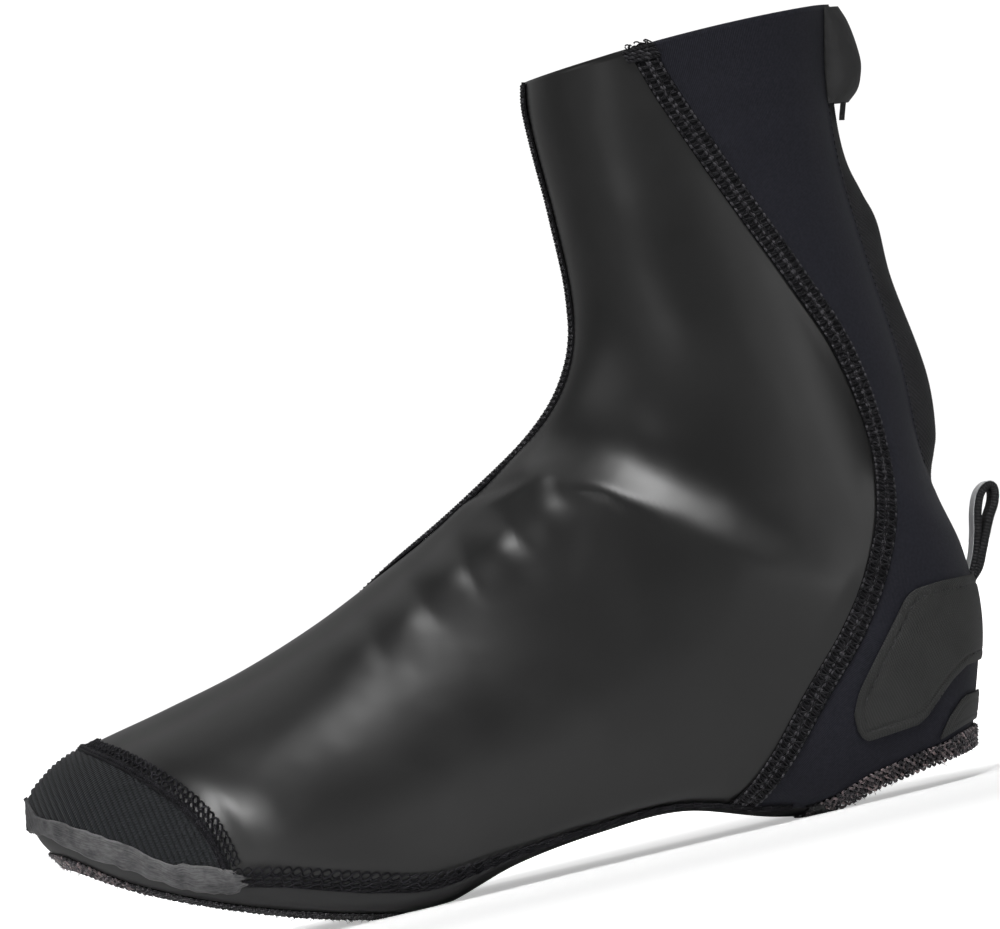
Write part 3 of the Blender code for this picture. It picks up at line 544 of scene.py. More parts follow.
class Finish(Nodes):  # a material on the Principled shader; sheen and coat are a weight and a roughness
    def __init__(self, name, color, rough, specular=0.5, sheen=(0.0, 0.5), coat=(0.0, 0.03), metallic=0.0):
        self.material = bpy.data.materials.new(name)
        self.material.use_nodes = True
        super().__init__(self.material.node_tree)
        self.shader = self.tree.nodes["Principled BSDF"]
        self.feed("Base Color", (*color, 1.0))
        self.feed("Roughness", rough)
        self.feed("Specular IOR Level", specular)
        self.feed("Sheen Weight", sheen[0])
        self.feed("Sheen Roughness", sheen[1])
        self.feed("Coat Weight", coat[0])
        self.feed("Coat Roughness", coat[1])
        self.feed("Metallic", metallic)

    def feed(self, socket, value):
        self.put(value, self.shader.inputs[socket])

    def tint(self):  # the shade stored on the piece's mesh: random stitch tones, lighter tape edges, painted highlight and shade on seam threads, painted shade between the cap's ribs
        return self.add("Attribute", attribute_name="tint").outputs["Fac"]

    def bump(self, *heights):  # stacked bumps: each is a height, a strength and a depth in metres
        normal = None
        for height, strength, depth in heights:
            node = self.add("Bump", Strength=strength, Distance=depth)
            self.put(height, node.inputs["Height"])
            if normal:
                self.put(normal, node.inputs["Normal"])
            normal = node.outputs["Normal"]
        self.feed("Normal", normal)


clothScale = (100.0, 100.0, 100.0)  # cloth UV to millimetres


def shellFilmFinish():  # coated stretch film, soft gloss
    film = Finish("shellFilm", (0.03, 0.03, 0.03), 0.4, coat=(0.22, 0.29))
    where = film.coords()
    cloud = film.noise(where, 28.0, 3.0)
    film.feed("Base Color", film.blend(cloud, (0.0105, 0.0105, 0.0107), (0.0142, 0.0141, 0.014)))
    film.feed("Roughness", film.ramp(film.noise(where, 60.0, 4.0), 0.3, 0.7, 0.35, 0.43))
    grain, pebble, swell = (film.noise(where, scale) for scale in (2600.0, 420.0, 38.0))
    film.bump((grain, 0.06, 0.0002), (pebble, 0.03, 0.0004), (swell, 0.4, 0.002))
    return film.material


def knitFinish(dark, light, pitch):  # fine knit: wales along the cloth, rows across it
    knit = Finish("rearKnit", light, 0.75, 0.2, (0.05, 0.45))
    cloth = knit.coords("UV", clothScale)
    wales, courses = knit.bands(cloth, pitch, "Y"), knit.bands(cloth, pitch * 0.8)
    fleck = knit.ramp(knit.noise(knit.coords(), 1100.0, 3.0), 0.3, 0.7, -0.5, 0.5)
    shade = knit.combine("MULTIPLY_ADD", fleck, 0.9, wales)
    knit.feed("Base Color", knit.blend(shade, dark, light))
    knit.bump((wales, 0.25, 0.0002), (courses, 0.12, 0.0001), (knit.noise(knit.coords(), 900.0), 0.1, 0.0002))
    return knit.material


def ribFinish():  # rib knit: painted shade between the ribs, darker where the rib height is low, and small stitches along them
    rib = Finish("ribKnit", (0.02, 0.022, 0.025), 0.75, 0.3, (0.08, 0.4))
    own = rib.tint()
    chevron = rib.combine("MULTIPLY_ADD", own, 0.55, rib.axis(rib.coords("UV", clothScale), "Y"))
    wayUp = rib.add("CombineXYZ")
    rib.put(chevron, wayUp.inputs[0])
    stitches = rib.bands(wayUp.outputs[0], 0.85)
    shade = rib.combine("MULTIPLY", own, rib.ramp(stitches, 0.0, 1.0, 0.62, 1.0))
    rib.feed("Base Color", rib.blend(shade, (0.0012, 0.0015, 0.002), (0.0235, 0.026, 0.0295)))
    rib.bump((stitches, 0.6, 0.0003), (rib.noise(rib.coords(), 1500.0, 3.0), 0.25, 0.0003))
    return rib.material


def threadFinish(name, dark, light, rough):  # twisted thread: each stitch takes the shade stored on its mesh, random per stitch; on the side and front seams it also paints highlights on the beads and shade on the braids and rungs
    thread = Finish(name, dark, rough, 0.25, (0.02, 0.5))
    thread.feed("Base Color", thread.blend(thread.tint(), dark, light))
    thread.bump((thread.noise(thread.coords(), 3200.0, 3.0), 0.35, 0.0003))
    return thread.material


def melangeFinish():  # serging thread: black with grey and pale rose strands
    melange = Finish("serging", (0.03, 0.03, 0.033), 0.8, 0.3, (0.3, 0.5))
    shades = melange.add("ValToRGB")
    stops = [
        (0.0, (0.012, 0.011, 0.014)), (0.35, (0.025, 0.023, 0.028)), (0.6, (0.07, 0.06, 0.066)),
        (0.85, (0.19, 0.155, 0.16)), (1.0, (0.34, 0.26, 0.26)),
    ]
    while len(shades.color_ramp.elements) < len(stops):
        shades.color_ramp.elements.new(0.5)
    for element, (spot, color) in zip(shades.color_ramp.elements, stops):
        element.position = spot
        element.color = (*color, 1.0)
    melange.put(melange.tint(), shades.inputs["Fac"])
    melange.feed("Base Color", shades.outputs["Color"])
    melange.bump((melange.noise(melange.coords(), 3000.0, 3.0), 0.4, 0.0003))
    return melange.material


def mottledFinish():  # grey guard tape: rubbed along its length, bright at its cut edges
    tape = Finish("guardTape", (0.07, 0.07, 0.072), 0.6, 0.4)
    where = tape.coords()
    cloud = tape.noise(where, 150.0, 5.0, 0.65)
    streak = tape.noise(tape.coords("UV", (26.0, 260.0, 1.0)), 1.0, 4.0, 0.6)
    clouds, streaks = tape.ramp(cloud, 0.38, 0.62, 0.0, 0.5), tape.ramp(streak, 0.4, 0.6, 0.0, 0.5)
    rubbed = tape.combine("ADD", clouds, streaks)
    face = tape.blend(rubbed, (0.024, 0.024, 0.026), (0.145, 0.143, 0.147))
    worn = tape.ramp(tape.tint(), 0.2, 1.0, 0.0, 0.8)
    tape.feed("Base Color", tape.blend(worn, face, (0.21, 0.205, 0.205)))
    tape.feed("Roughness", tape.ramp(streak, 0.3, 0.7, 0.42, 0.75))
    tape.bump((cloud, 0.2, 0.0006), (streak, 0.35, 0.0004), (tape.noise(where, 1500.0, 3.0), 0.2, 0.0003))
    return tape.material


def wovenFinish(name, dark, light, pitch, angle, rough, depth, crumple=0.0):  # coated twill in fine lines
    cloth = Finish(name, light, rough, 0.4, coat=(0.05, 0.4))
    weave = cloth.coords("UV", clothScale, angle)
    twill, weft = cloth.bands(weave, pitch, "X", 0.6), cloth.bands(weave, pitch, "Y", 0.4)
    cloud = cloth.ramp(cloth.noise(cloth.coords(), 90.0, 4.0), 0.3, 0.7, 0.0, 0.4)
    shade = cloth.combine("ADD", cloud, cloth.ramp(twill, 0.0, 1.0, 0.0, 0.6))
    cloth.feed("Base Color", cloth.blend(shade, dark, light))
    grain, creases = cloth.noise(cloth.coords(), 1200.0), cloth.noise(cloth.coords(), 110.0)
    strands = (twill, depth, 0.0002), (weft, depth * 0.6, 0.0002)
    cloth.bump(*strands, (grain, 0.1, 0.0002), (creases, crumple, 0.003))
    return cloth.material


def plainFinish(name, color, rough, grain, metallic=0.0):
    plain = Finish(name, color, rough, metallic=metallic)
    where = plain.coords()
    low = tuple(0.8 * part for part in color)
    plain.feed("Base Color", plain.blend(plain.noise(where, 240.0, 4.0), low, color))
    plain.bump((plain.noise(where, grain, 3.0), 0.12, 0.0002))
    return plain.material


finishes = {
    "shell": shellFilmFinish(),
    "rear": knitFinish((0.0115, 0.0118, 0.0172), (0.0215, 0.0219, 0.031), 0.55),
    "cap": ribFinish(),
    "sole": plainFinish("soleFilm", (0.018, 0.018, 0.0187), 0.5, 2200.0),
    "thread": threadFinish("seamThread", (0.0026, 0.0024, 0.004), (0.08, 0.0775, 0.086), 0.5),
    "mesh": threadFinish("meshThread", (0.003, 0.0028, 0.0044), (0.018, 0.0172, 0.0215), 0.75),
    "bed": threadFinish("seamBed", (0.003, 0.003, 0.004), (0.0045, 0.0045, 0.0055), 0.9),
    "serging": melangeFinish(),
    "guard": mottledFinish(),
    "patch": wovenFinish("heelTwill", (0.017, 0.0176, 0.017), (0.041, 0.0417, 0.0407), 0.75, 62.0, 0.62, 0.5),
    "hood": wovenFinish("hoodCloth", (0.022, 0.022, 0.0226), (0.04, 0.04, 0.0412), 0.45, 45.0, 0.7, 0.2, 0.6),
    "tape": wovenFinish("zipTape", (0.003, 0.003, 0.004), (0.027, 0.027, 0.03), 1.05, 45.0, 0.75, 0.6),
    "webbing": wovenFinish("webbing", (0.006, 0.006, 0.007), (0.03, 0.03, 0.032), 1.0, 0.0, 0.75, 0.8),
    "strip": plainFinish("reflectStrip", (0.72, 0.73, 0.74), 0.4, 2500.0),
    "coil": plainFinish("zipCoil", (0.022, 0.022, 0.024), 0.42, 1800.0),
    "metal": plainFinish("sliderPaint", (0.05, 0.05, 0.052), 0.38, 1500.0, 0.6),
}
print("finishes made")

# Camera: the photo's side view through a long lens, rolled so that the level shoe points down to the left
view = {
    "distance": 5.0, "lookX": 162.0, "lookZ": 123.4, "lift": 0.35, "roll": 13.3,
    "wide": 300.0, "sensor": 36.0, "reach": 20.0,
}
rollTurn, liftTurn = math.radians(view["roll"]), math.radians(view["lift"])
bpy.ops.object.camera_add()
camera = bpy.context.object
camera.name = "sideCamera"
aim = Vector(place((view["lookX"], 0.0, view["lookZ"])))
back = Vector((0.0, -math.cos(liftTurn), math.sin(liftTurn)))
right = Vector((1.0, 0.0, 0.0))
up = back.cross(right)
turned = right * math.cos(rollTurn) - up * math.sin(rollTurn)
axes = (turned, back.cross(turned), back, aim + back * view["distance"])
camera.matrix_world = Matrix([[axis[k] for axis in axes] for k in range(3)] + [[0, 0, 0, 1]])
camera.data.sensor_width = view["sensor"]
camera.data.lens = view["sensor"] * view["distance"] / (view["wide"] * mm)
camera.data.clip_end = view["reach"]
bpy.context.scene.camera = camera
print("camera set")

# Shell: one coated panel from the toe to the collar, from feather seam to feather seam
crease = {"samples": 60, "sharing": 30.0, "turnover": 1.5}  # how a fold reads its crest line
shell = {
    "rows": 216, "columns": 152, "noseRows": 9, "noseEnd": 1.2,
    "frontSlack": 11.0, "edgeSlack": 9.0, "toeSlack": (2.6, 7.0), "soften": 6.0, "softenFrom": (7.0, 10.0),
    # soft folds: a crest line in the side view, its reach above and below, its heights along the line
    "folds": [
        ([(176.0, 112.5), (184.0, 111.5), (191.9, 107.2), (201.0, 100.2), (210.3, 92.8), (219.5, 85.0),
          (228.6, 77.2), (239.0, 69.6), (249.0, 63.6), (258.0, 59.0), (266.0, 55.0)],
         10.5, 30.0, (2.9, 4.4, 4.8, 5.0, 5.0, 5.0, 4.7, 3.8, 2.5, 1.1, 0.0)),
        ([(181.0, 110.8), (187.0, 109.4), (191.7, 106.8), (196.1, 103.6), (201.2, 99.8), (207.8, 94.6)],
         3.0, 2.4, (0.3, 0.9, 1.1, 0.9, 0.5, 0.0)),
        ([(57.0, 64.0), (65.5, 55.0), (72.0, 46.0), (76.5, 36.5), (78.5, 28.0), (78.5, 21.0)],
         38.0, 17.0, (0.4, 1.1, 1.9, 2.3, 2.2, 1.6)),
    ],
    # puffs beside the instep: place, then height; they meet in sharp hollows along the instep
    "puffs": [
        (171.4, 115.0, 2.0), (171.4, 105.6, 1.8), (155.6, 98.0, 2.1), (139.3, 93.8, 1.8), (123.7, 85.6, 1.5),
        (106.9, 80.6, 1.0),
    ],
    "puffLong": 7.6, "puffTail": 1.3, "puffWide": 8.0, "puffWay": (0.92, 0.39),
}


def foldRelief(flat, line, above, below, high):  # a soft fold, steeper above its crest than below
    fine = sideLine(line, crease["samples"])
    run = np.gradient(fine, axis=0)
    run /= np.linalg.norm(run, axis=1, keepdims=True)
    gaps = flat[..., None, :] - fine
    away = (gaps ** 2).sum(-1)
    nearest = away.min(-1, keepdims=True)
    weights = np.exp((nearest - away) / crease["sharing"])
    over = gaps[..., 1] * run[:, 0] - gaps[..., 0] * run[:, 1]
    reach = below + (above - below) * (0.5 + 0.5 * np.tanh(over / crease["turnover"]))
    heights = np.interp(np.linspace(0, 1, len(fine)), np.linspace(0, 1, len(high)), high)
    return (weights * heights * np.exp(-nearest / reach ** 2)).sum(-1) / weights.sum(-1)


def shellRelief(points):
    flat = points[..., [0, 2]]
    relief = sum(foldRelief(flat, *fold) for fold in shell["folds"])
    wayX, wayZ = shell["puffWay"]
    caps = []
    for x, z, high in shell["puffs"]:
        awayX, awayZ = flat[..., 0] - x, flat[..., 1] - z
        along, across = awayX * wayX + awayZ * wayZ, awayZ * wayX - awayX * wayZ
        long = shell["puffLong"] * np.where(along < 0, shell["puffTail"], 1.0)
        caps.append(high * np.exp(-((along / long) ** 2 + (across / shell["puffWide"]) ** 2)))
    relief = relief + np.max(caps, axis=0)
    start, reach = shell["toeSlack"]
    seamGap = np.linalg.norm(flat[..., None, :] - sideLine(toeSeamLine, 24), axis=-1).min(-1)
    return relief * ease((seamGap - start) / reach)


def soften(rows, size):  # running mean along a grid's rows, its ends held
    reach = int(size * 3)
    weights = np.exp(-0.5 * (np.arange(-reach, reach + 1) / size) ** 2)
    padded = np.concatenate((2 * rows[:1] - rows[reach:0:-1], rows, 2 * rows[-1:] - rows[-2:-reach - 2:-1]))
    return sum(weight * padded[k:k + len(rows)] for k, weight in enumerate(weights / weights.sum()))


def edgeV(u, side):  # where the shell ends: the feather seam, then the side seam
    return featherV(u, side) if u <= openings["seamEnd"] else seamV(u, side)


noseUs = np.linspace(0.0, shell["noseEnd"], shell["noseRows"] + 1)[:-1]
shellUs = np.concatenate((noseUs, evenRows(shell["noseEnd"], lastRow, shell["rows"] - shell["noseRows"])))
shellPoints = np.empty((len(shellUs), shell["columns"], 3))
slack = np.empty(shellPoints.shape[:2])  # how free the film is, from a seam to the open panel
for k, u in enumerate(shellUs):
    vs = lerp(edgeV(u, -1), edgeV(u, 1), shell["columns"])
    shellPoints[k] = skinRow(u, vs)
    run = halfLoop(u, -1)[4][-1]
    toFront, toEdge = np.abs(vs) * run, np.minimum(vs - vs[0], vs[-1] - vs) * run
    slack[k] = ease(toFront / shell["frontSlack"]) * ease(toEdge / shell["edgeSlack"])
softStart, softFull = shell["softenFrom"]
soft = ease((shellUs - softStart) / (softFull - softStart))[:, None, None] * slack[..., None]
shellPoints = shellPoints + (soften(shellPoints, shell["soften"]) - shellPoints) * soft
relief = shellRelief(shellPoints) * slack
shellPiece = layGrid("shell_panel", shellPoints + gridNormals(shellPoints) * relief[..., None])
thicken(shellPiece, last["wall"])
dress(shellPiece, finishes["shell"], "shell", "upper")

# Rear panel: both sides behind the side seams, joined under the zip
rear = {
    "rows": 170, "columns": 46, "edge": (0.45, 1.1), "featherEnd": 13.0, "seamSlack": 8.0, "edgeSlack": 6.0,
    "zipSteps": (0.01, 0.03, 0.06, 0.1, 0.15, 0.22),
    "folds": [
        ([(245.3, 214.8), (257.8, 215.6), (272.9, 214.5)], 5.0, 6.0, (0.2, 0.9, 0.5)),
        ([(238.5, 199.2), (254.5, 201.6), (272.7, 200.3)], 5.5, 6.0, (0.2, 0.8, 0.5)),
        ([(276.0, 108.0), (281.0, 98.0), (285.0, 90.0)], 6.0, 6.0, (0.1, 0.7, 0.2)),
    ],
}


def rearEdge(u, side):  # v of the panel's rear or lower edge
    if u <= heelOpen:
        return featherV(u, side)
    if u < heelShut:
        feather = sliceAt(u)["feather"] if u < rear["featherEnd"] else 0.0
        return float(vFromHeight(u, side, max(rimHeight(u), feather)))
    return vFromArc(u, side, zipHalf(u)) if u > zipStart else float(side)


rearUs = np.unique(np.concatenate((
    evenRows(openings["seamEnd"] + 0.03, lastRow, rear["rows"], (-0.7, -0.95)),
    [heelOpen, heelShut, zipStart],
    zipStart + np.array(rear["zipSteps"]),
)))
rearHalves = []
for side in (-1, 1):
    grid = np.array([skinRow(u, lerp(seamV(u, side), rearEdge(u, side), rear["columns"])) for u in rearUs])
    grid = grid[:, ::side]
    steps = np.cumsum(np.linalg.norm(np.diff(grid[:, ::-side], axis=1), axis=2), axis=1)
    fromEdge = np.concatenate((np.zeros((len(grid), 1)), steps), axis=1)[:, ::-side]
    toSeam = fromEdge.max(axis=1, keepdims=True) - fromEdge
    folds = sum(foldRelief(grid[..., [0, 2]], *fold) for fold in rear["folds"])
    folds = folds * ease(toSeam / rear["seamSlack"]) * ease(fromEdge / rear["edgeSlack"])
    high, wide = rear["edge"]
    hem = high * np.exp(-((fromEdge - 1.0) / wide) ** 2) * ease((rearUs - zipStart) / 0.5)[:, None]
    rearHalves.append(layGrid("rear_half", grid + gridNormals(grid) * (folds + hem)[..., None]))
rearPiece = joinPieces(rearHalves, "rear_panel")
thicken(rearPiece, last["wall"])
dress(rearPiece, finishes["rear"], "shell")

# Sole panel: a strip down each side, joined under the toe and the waist
sole = {"rows": 170, "columns": 16, "gap": 0.3, "lap": 0.35}
soleRows = evenRows(0.0, heelOpen + sole["lap"], sole["rows"], (-0.8, -0.95))
soleUs = np.unique(np.concatenate((soleRows, [cleatOpen, cleatShut, heelOpen])))
soleHalves = []
for side in (-1, 1):
    rows = []
    for u in soleUs:
        inner = vFromArc(u, side, max(cleatEdge(u, side), heelEdge(u, side)))
        feather = arcFromHeight(u, side, sliceAt(u)["feather"]) - sole["gap"]
        rows.append(skinRow(u, lerp(inner, vFromArc(u, side, max(feather, 0.0)), sole["columns"])))
    grid = np.array(rows)
    grid[..., 2] = np.maximum(grid[..., 2], 0.0)
    soleHalves.append(layGrid("sole_half", grid[:, ::-side]))
solePiece = joinPieces(soleHalves, "sole_cloth")
thicken(solePiece, last["wall"])
dress(solePiece, finishes["sole"], "sole", "sole_panel")

# Toe cap: knit ribs over the toe, tucked under the seam behind it and the guard tape below
cap = {
    "rows": 310, "columns": 84, "noseRows": 15, "end": 5.4, "lift": 0.3, "rib": 0.55, "pitch": 1.71,
    "lean": 11.0, "tuck": 1.5, "thick": 0.3,
}
noseUs = np.linspace(0.02, 1.0, cap["noseRows"] + 1)[:-1]
capUs = np.concatenate((noseUs, evenRows(1.0, cap["end"], cap["rows"] - cap["noseRows"], (0.0, -0.4, -0.8))))
capPoints = np.array([skinRow(u, lerp(featherV(u, -1), featherV(u, 1), cap["columns"])) for u in capUs])
ribLean = math.radians(cap["lean"])
ribWay = capPoints[..., 0] * math.cos(ribLean) + capPoints[..., 2] * math.sin(ribLean)
ribs = np.abs(np.sin(math.pi * ribWay / cap["pitch"]))
relief = cap["lift"] + cap["rib"] * ribs
# the rib height also goes on the mesh as its shade, so the finish paints the valleys dark: painted shade
capPiece = layGrid("toe_cap_knit", capPoints + gridNormals(capPoints) * relief[..., None], ribs)
behind = sideLine(toeSeamLine, 60)
bpy.ops.object.mode_set(mode="EDIT")
bpy.ops.mesh.select_all(action="DESELECT")
bpy.ops.object.mode_set(mode="OBJECT")
for vertex in capPiece.data.vertices:
    x, _, z = np.array(vertex.co) / mm - shift
    tooFar = x > np.interp(z, behind[::-1, 1], behind[::-1, 0])
    tooLow = z < np.interp(x, *np.array(lines["guardLow"]).T) + cap["tuck"]
    vertex.select = bool(tooFar or tooLow)
bpy.ops.object.mode_set(mode="EDIT")
bpy.ops.mesh.delete(type="VERT")
bpy.ops.object.mode_set(mode="OBJECT")
thicken(capPiece, cap["thick"])
dress(capPiece, finishes["cap"], "ribbed", "toe_cap")
print("panels laid")

# Seams: threads on the skin, with a low bed under those that stand on cloth
seam = {
    "pitch": 2.1, "bead": 1.5, "beadRadius": 0.38, "braidRadius": 0.33, "middle": 1.75, "half": 1.2,
    "start": 2.6, "bedAcross": (3.6, 3.2, 1.8, 0.75, 0.3, 0.0, -0.3, -0.75, -1.8, -3.0, -3.4),
    "bedHigh": (0.1, 0.2, 0.2, 0.25, 0.45, 0.55, 0.45, 0.25, 0.2, 0.2, 0.1), "bedRows": 260, "bedThick": 0.25,
    "tackRows": (0.6, 1.8, 3.0, 4.2), "tackReach": (-5.4, 4.4), "tackLean": 0.32, "ends": 12,
}


def layBed(name, track, across, heights, start=0.0):
    stops = np.linspace(start, track.length, seam["bedRows"])
    grid = track.at(stops[:, None], np.array(across), np.array(heights))
    item = layGrid(name, grid if track.flip < 0 else grid[:, ::-1])
    thicken(item, seam["bedThick"])
    dress(item, finishes["bed"], "thread")


def collarSpot(track, below, rearward, above):  # a place by the seam's top, measured down from the collar
    along = below + seam["tackLean"] * rearward
    run = track.point[1] - track.point[0]
    run /= np.linalg.norm(run)
    return track.at(np.maximum(along, 0.0), -rearward, above) + run * np.minimum(along, 0.0)[..., None]


def collarTack(track):  # bar tack: rope stitches in rows along the collar
    rearward = np.linspace(*seam["tackReach"], 44)
    ropes = []
    for row in seam["tackRows"]:
        for hand in (0.0, math.pi):
            turn = 2.7 * rearward + 1.9 * row + hand
            ropes.append(collarSpot(track, row + 0.36 * np.sin(turn), rearward, 0.75 + 0.3 * np.cos(turn)))
    return np.array(ropes)


def looseEnds(track):  # short curled thread ends that stand up at the collar
    share = np.linspace(0, 1, 7)
    count = (seam["ends"], 1)
    turn = rng.uniform(0, 6.0, count) + rng.uniform(2.0, 5.0, count) * share
    rearward = rng.uniform(-5.4, 3.6, count) + 0.7 * np.cos(turn)
    rise = rng.uniform(0.7, 2.0, count) * np.sin(share * 2.3)
    return collarSpot(track, 0.4 - rise, rearward, 0.3 + 0.4 * np.sin(turn))


for side, label in ((-1, "outer"), (1, "inner")):
    track = Track(seamPlaces[side], -side)
    layBed("side_seam_bed_" + label, track, seam["bedAcross"], seam["bedHigh"], seam["start"])
    stops = track.stops(seam["pitch"], 5.0, 0.6)
    groups = []
    # braids and rungs get a low shade, a painted shade; the beads a high one, a painted highlight on their
    # tips
    for middle in (seam["middle"], -seam["middle"] * 0.95):
        legs = braid(track, seam["start"], track.length - 0.4, seam["pitch"], middle, seam["half"], 0.5)
        groups.append((legs, seam["braidRadius"], 0.9, 0.2))
        for row in (middle + seam["half"] + 0.15, middle - seam["half"] - 0.1):
            uneven = stops + rng.uniform(-0.15, 0.15, len(stops))
            groups.append((stitchRow(track, uneven, seam["bead"], row, 0.72), seam["beadRadius"], 0.5, 1.7))
        groups.append((rungs(track, stops + 0.5, middle + 1.2, middle - 1.2, 0.5, 0.62), 0.2, 0.85, 0.5))
    way = np.linspace(seam["start"], track.length - 0.3, 420)
    line = track.at(way, 0.02, 0.62 + 0.06 * np.sin(np.arange(len(way)) * 1.3))
    groups.append((line[None], 0.24, 0.9, 0.9))
    groups.append((collarTack(track), 0.4, 0.8, np.tile((0.2, 0.85), len(seam["tackRows"]))))
    groups.append((looseEnds(track), 0.24, 0.7, 0.12))
    sew("side_stitching_" + label, groups, "thread", "side_seam_" + label)

toeSeam = {
    "pitch": 2.15, "rows": ((2.35, 1.05), (0.35, 0.95)), "radius": 0.3, "dense": (-0.75, -2.5),
    "densePitch": 0.8, "rollRadius": 0.5,
}
toeHalf = [onSide(x, z, -1) for x, z in sideLine(toeSeamLine, 60, 1.6)]
track = Track(toeHalf[::-1] + [(u, -v) for u, v in toeHalf[1:]])
groups = []
for middle, half in toeSeam["rows"]:
    legs = braid(track, 0.3, track.length - 0.3, toeSeam["pitch"], middle, half, 0.55, 1.2, 0.25)
    groups.append((legs, toeSeam["radius"], 0.9))
dense = track.stops(toeSeam["densePitch"], 0.3, 0.3)
for slant in (0.6, -0.6):
    groups.append((rungs(track, dense, *toeSeam["dense"], slant, 1.25), toeSeam["radius"], 0.8))
roll = track.at(np.linspace(0.2, track.length - 0.2, 160), toeSeam["dense"][1] - 0.1, 0.75)
groups.append((roll[None], toeSeam["rollRadius"], 0.7, 0.1))
sew("toe_stitching", groups, "mesh", "toe_seam")

frontSeam = {
    "start": 4.72, "pitch": 1.9, "half": 2.1, "soften": 9.0,
    "turn": ((4.0, 0.37), (5.0, 0.30), (7.0, 0.15), (8.6, 0.0), (10.0, -0.022), (23.0, -0.022)),
    "bedAcross": (3.0, 2.4, 1.4, 0.0, -1.4, -2.4, -3.0),
    "bedHigh": (0.1, 0.45, 0.75, 0.9, 0.75, 0.45, 0.1),
}
frontUs = evenRows(frontSeam["start"], lastRow, 200, (0.0, 0.02))
frontVs = soften(np.interp(frontUs, *np.array(frontSeam["turn"]).T)[:, None], frontSeam["soften"])[:, 0]
track = Track(list(zip(frontUs, frontVs)))
layBed("front_seam_bed", track, frontSeam["bedAcross"], frontSeam["bedHigh"])
stops, half = track.stops(frontSeam["pitch"], 0.8, 0.8), frontSeam["half"]
groups = []
# the beads get a high shade, a painted highlight on their tips; the rungs a lower one, a painted shade
for row in (half, -half):
    uneven = stops + rng.uniform(-0.1, 0.1, len(stops))
    groups.append((stitchRow(track, uneven, 1.4, row, 1.0), 0.45, 0.5, 0.9))
for slant in (0.9, -0.9):
    groups.append((rungs(track, stops, half + 0.3, -half - 0.3, slant, 1.3), 0.36, 0.8, 0.4))
sew("front_stitching", groups, "thread", "front_seam")

featherSeam = {
    "start": 57.0, "pitch": 2.9, "narrowing": ((40.0, 110.0), (1.0, 0.52)), "rise": ((0.0, 40.0), (3.2, 1.6)),
    "rows": ((2.1, 1.45, 0.3), (-0.35, 0.85, 0.27), (-2.0, 0.75, 0.24)), "hem": (-3.1, 0.22),
    # each braid: end gap, spread, height, lean and girth
    "braids": ((0.2, 1.0, 0.62, 0.55, 1.0), (0.9, 0.8, 0.5, 0.7, 0.7)),
}
featherStart = uWhere("soleX", featherSeam["start"], "toes", "ball")
featherUs = evenRows(featherStart, heelOpen, 160, (-0.7, -0.8))


def featherSpread(half):  # the seam narrows to a rope under the arch
    return lambda along: half * np.interp(along, *featherSeam["narrowing"])


def featherRow(row):
    return lambda along: np.interp(along, *featherSeam["rise"]) + featherSpread(row)(along)


for side, label in ((-1, "outer"), (1, "inner")):
    track = Track([(u, featherV(u, side)) for u in featherUs], side)
    groups = []
    for row, half, radius in featherSeam["rows"]:
        for gap, share, high, lean, girth in featherSeam["braids"]:
            ends = (gap, track.length - gap, featherSeam["pitch"])
            loops = braid(track, *ends, featherRow(row), featherSpread(share * half), high, 0.4, lean)
            groups.append((loops, radius * girth, 0.9))
    row, radius = featherSeam["hem"]
    hem = np.linspace(0.2, track.length - 0.2, 300)
    groups.append((track.at(hem, featherRow(row)(hem), 0.25)[None], radius, 0.9))
    sew("feather_stitching_" + label, groups, "mesh", "feather_seam_" + label)
print("seams sewn")

# Serged edges of the two openings
serging = {
    "gap": 0.5, "wide": 5.0, "proud": 0.35, "pitch": 1.9, "radius": 0.44, "rows": (0.35, 1.6, 2.85, 4.1, 5.2),
    "edge": ((0, 0.35, 1), (4.6, 5.7, 4.4), (0.5, -0.7, -2.2)), "edgeRadius": 0.4,
    "section": (
        (0.0, 0.3), (0.12, 0.85), (0.3, 1.0), (0.7, 1.0), (0.88, 0.85), (1.0, 0.3), (0.86, 0.0), (0.14, 0.0),
        (0.0, 0.3),
    ),
    # shade: the serging's tint along x, low under the sole behind the toe, a painted shadow
    "shade": ((24.0, 1.0), (46.0, 0.25), (150.0, 0.25), (200.0, 1.0)), "hairs": 1000, "hairRadius": 0.1,
}


def rounded(start, end, count):
    return start + (end - start) * 0.5 * (1 - np.cos(np.linspace(0, math.pi, count)))


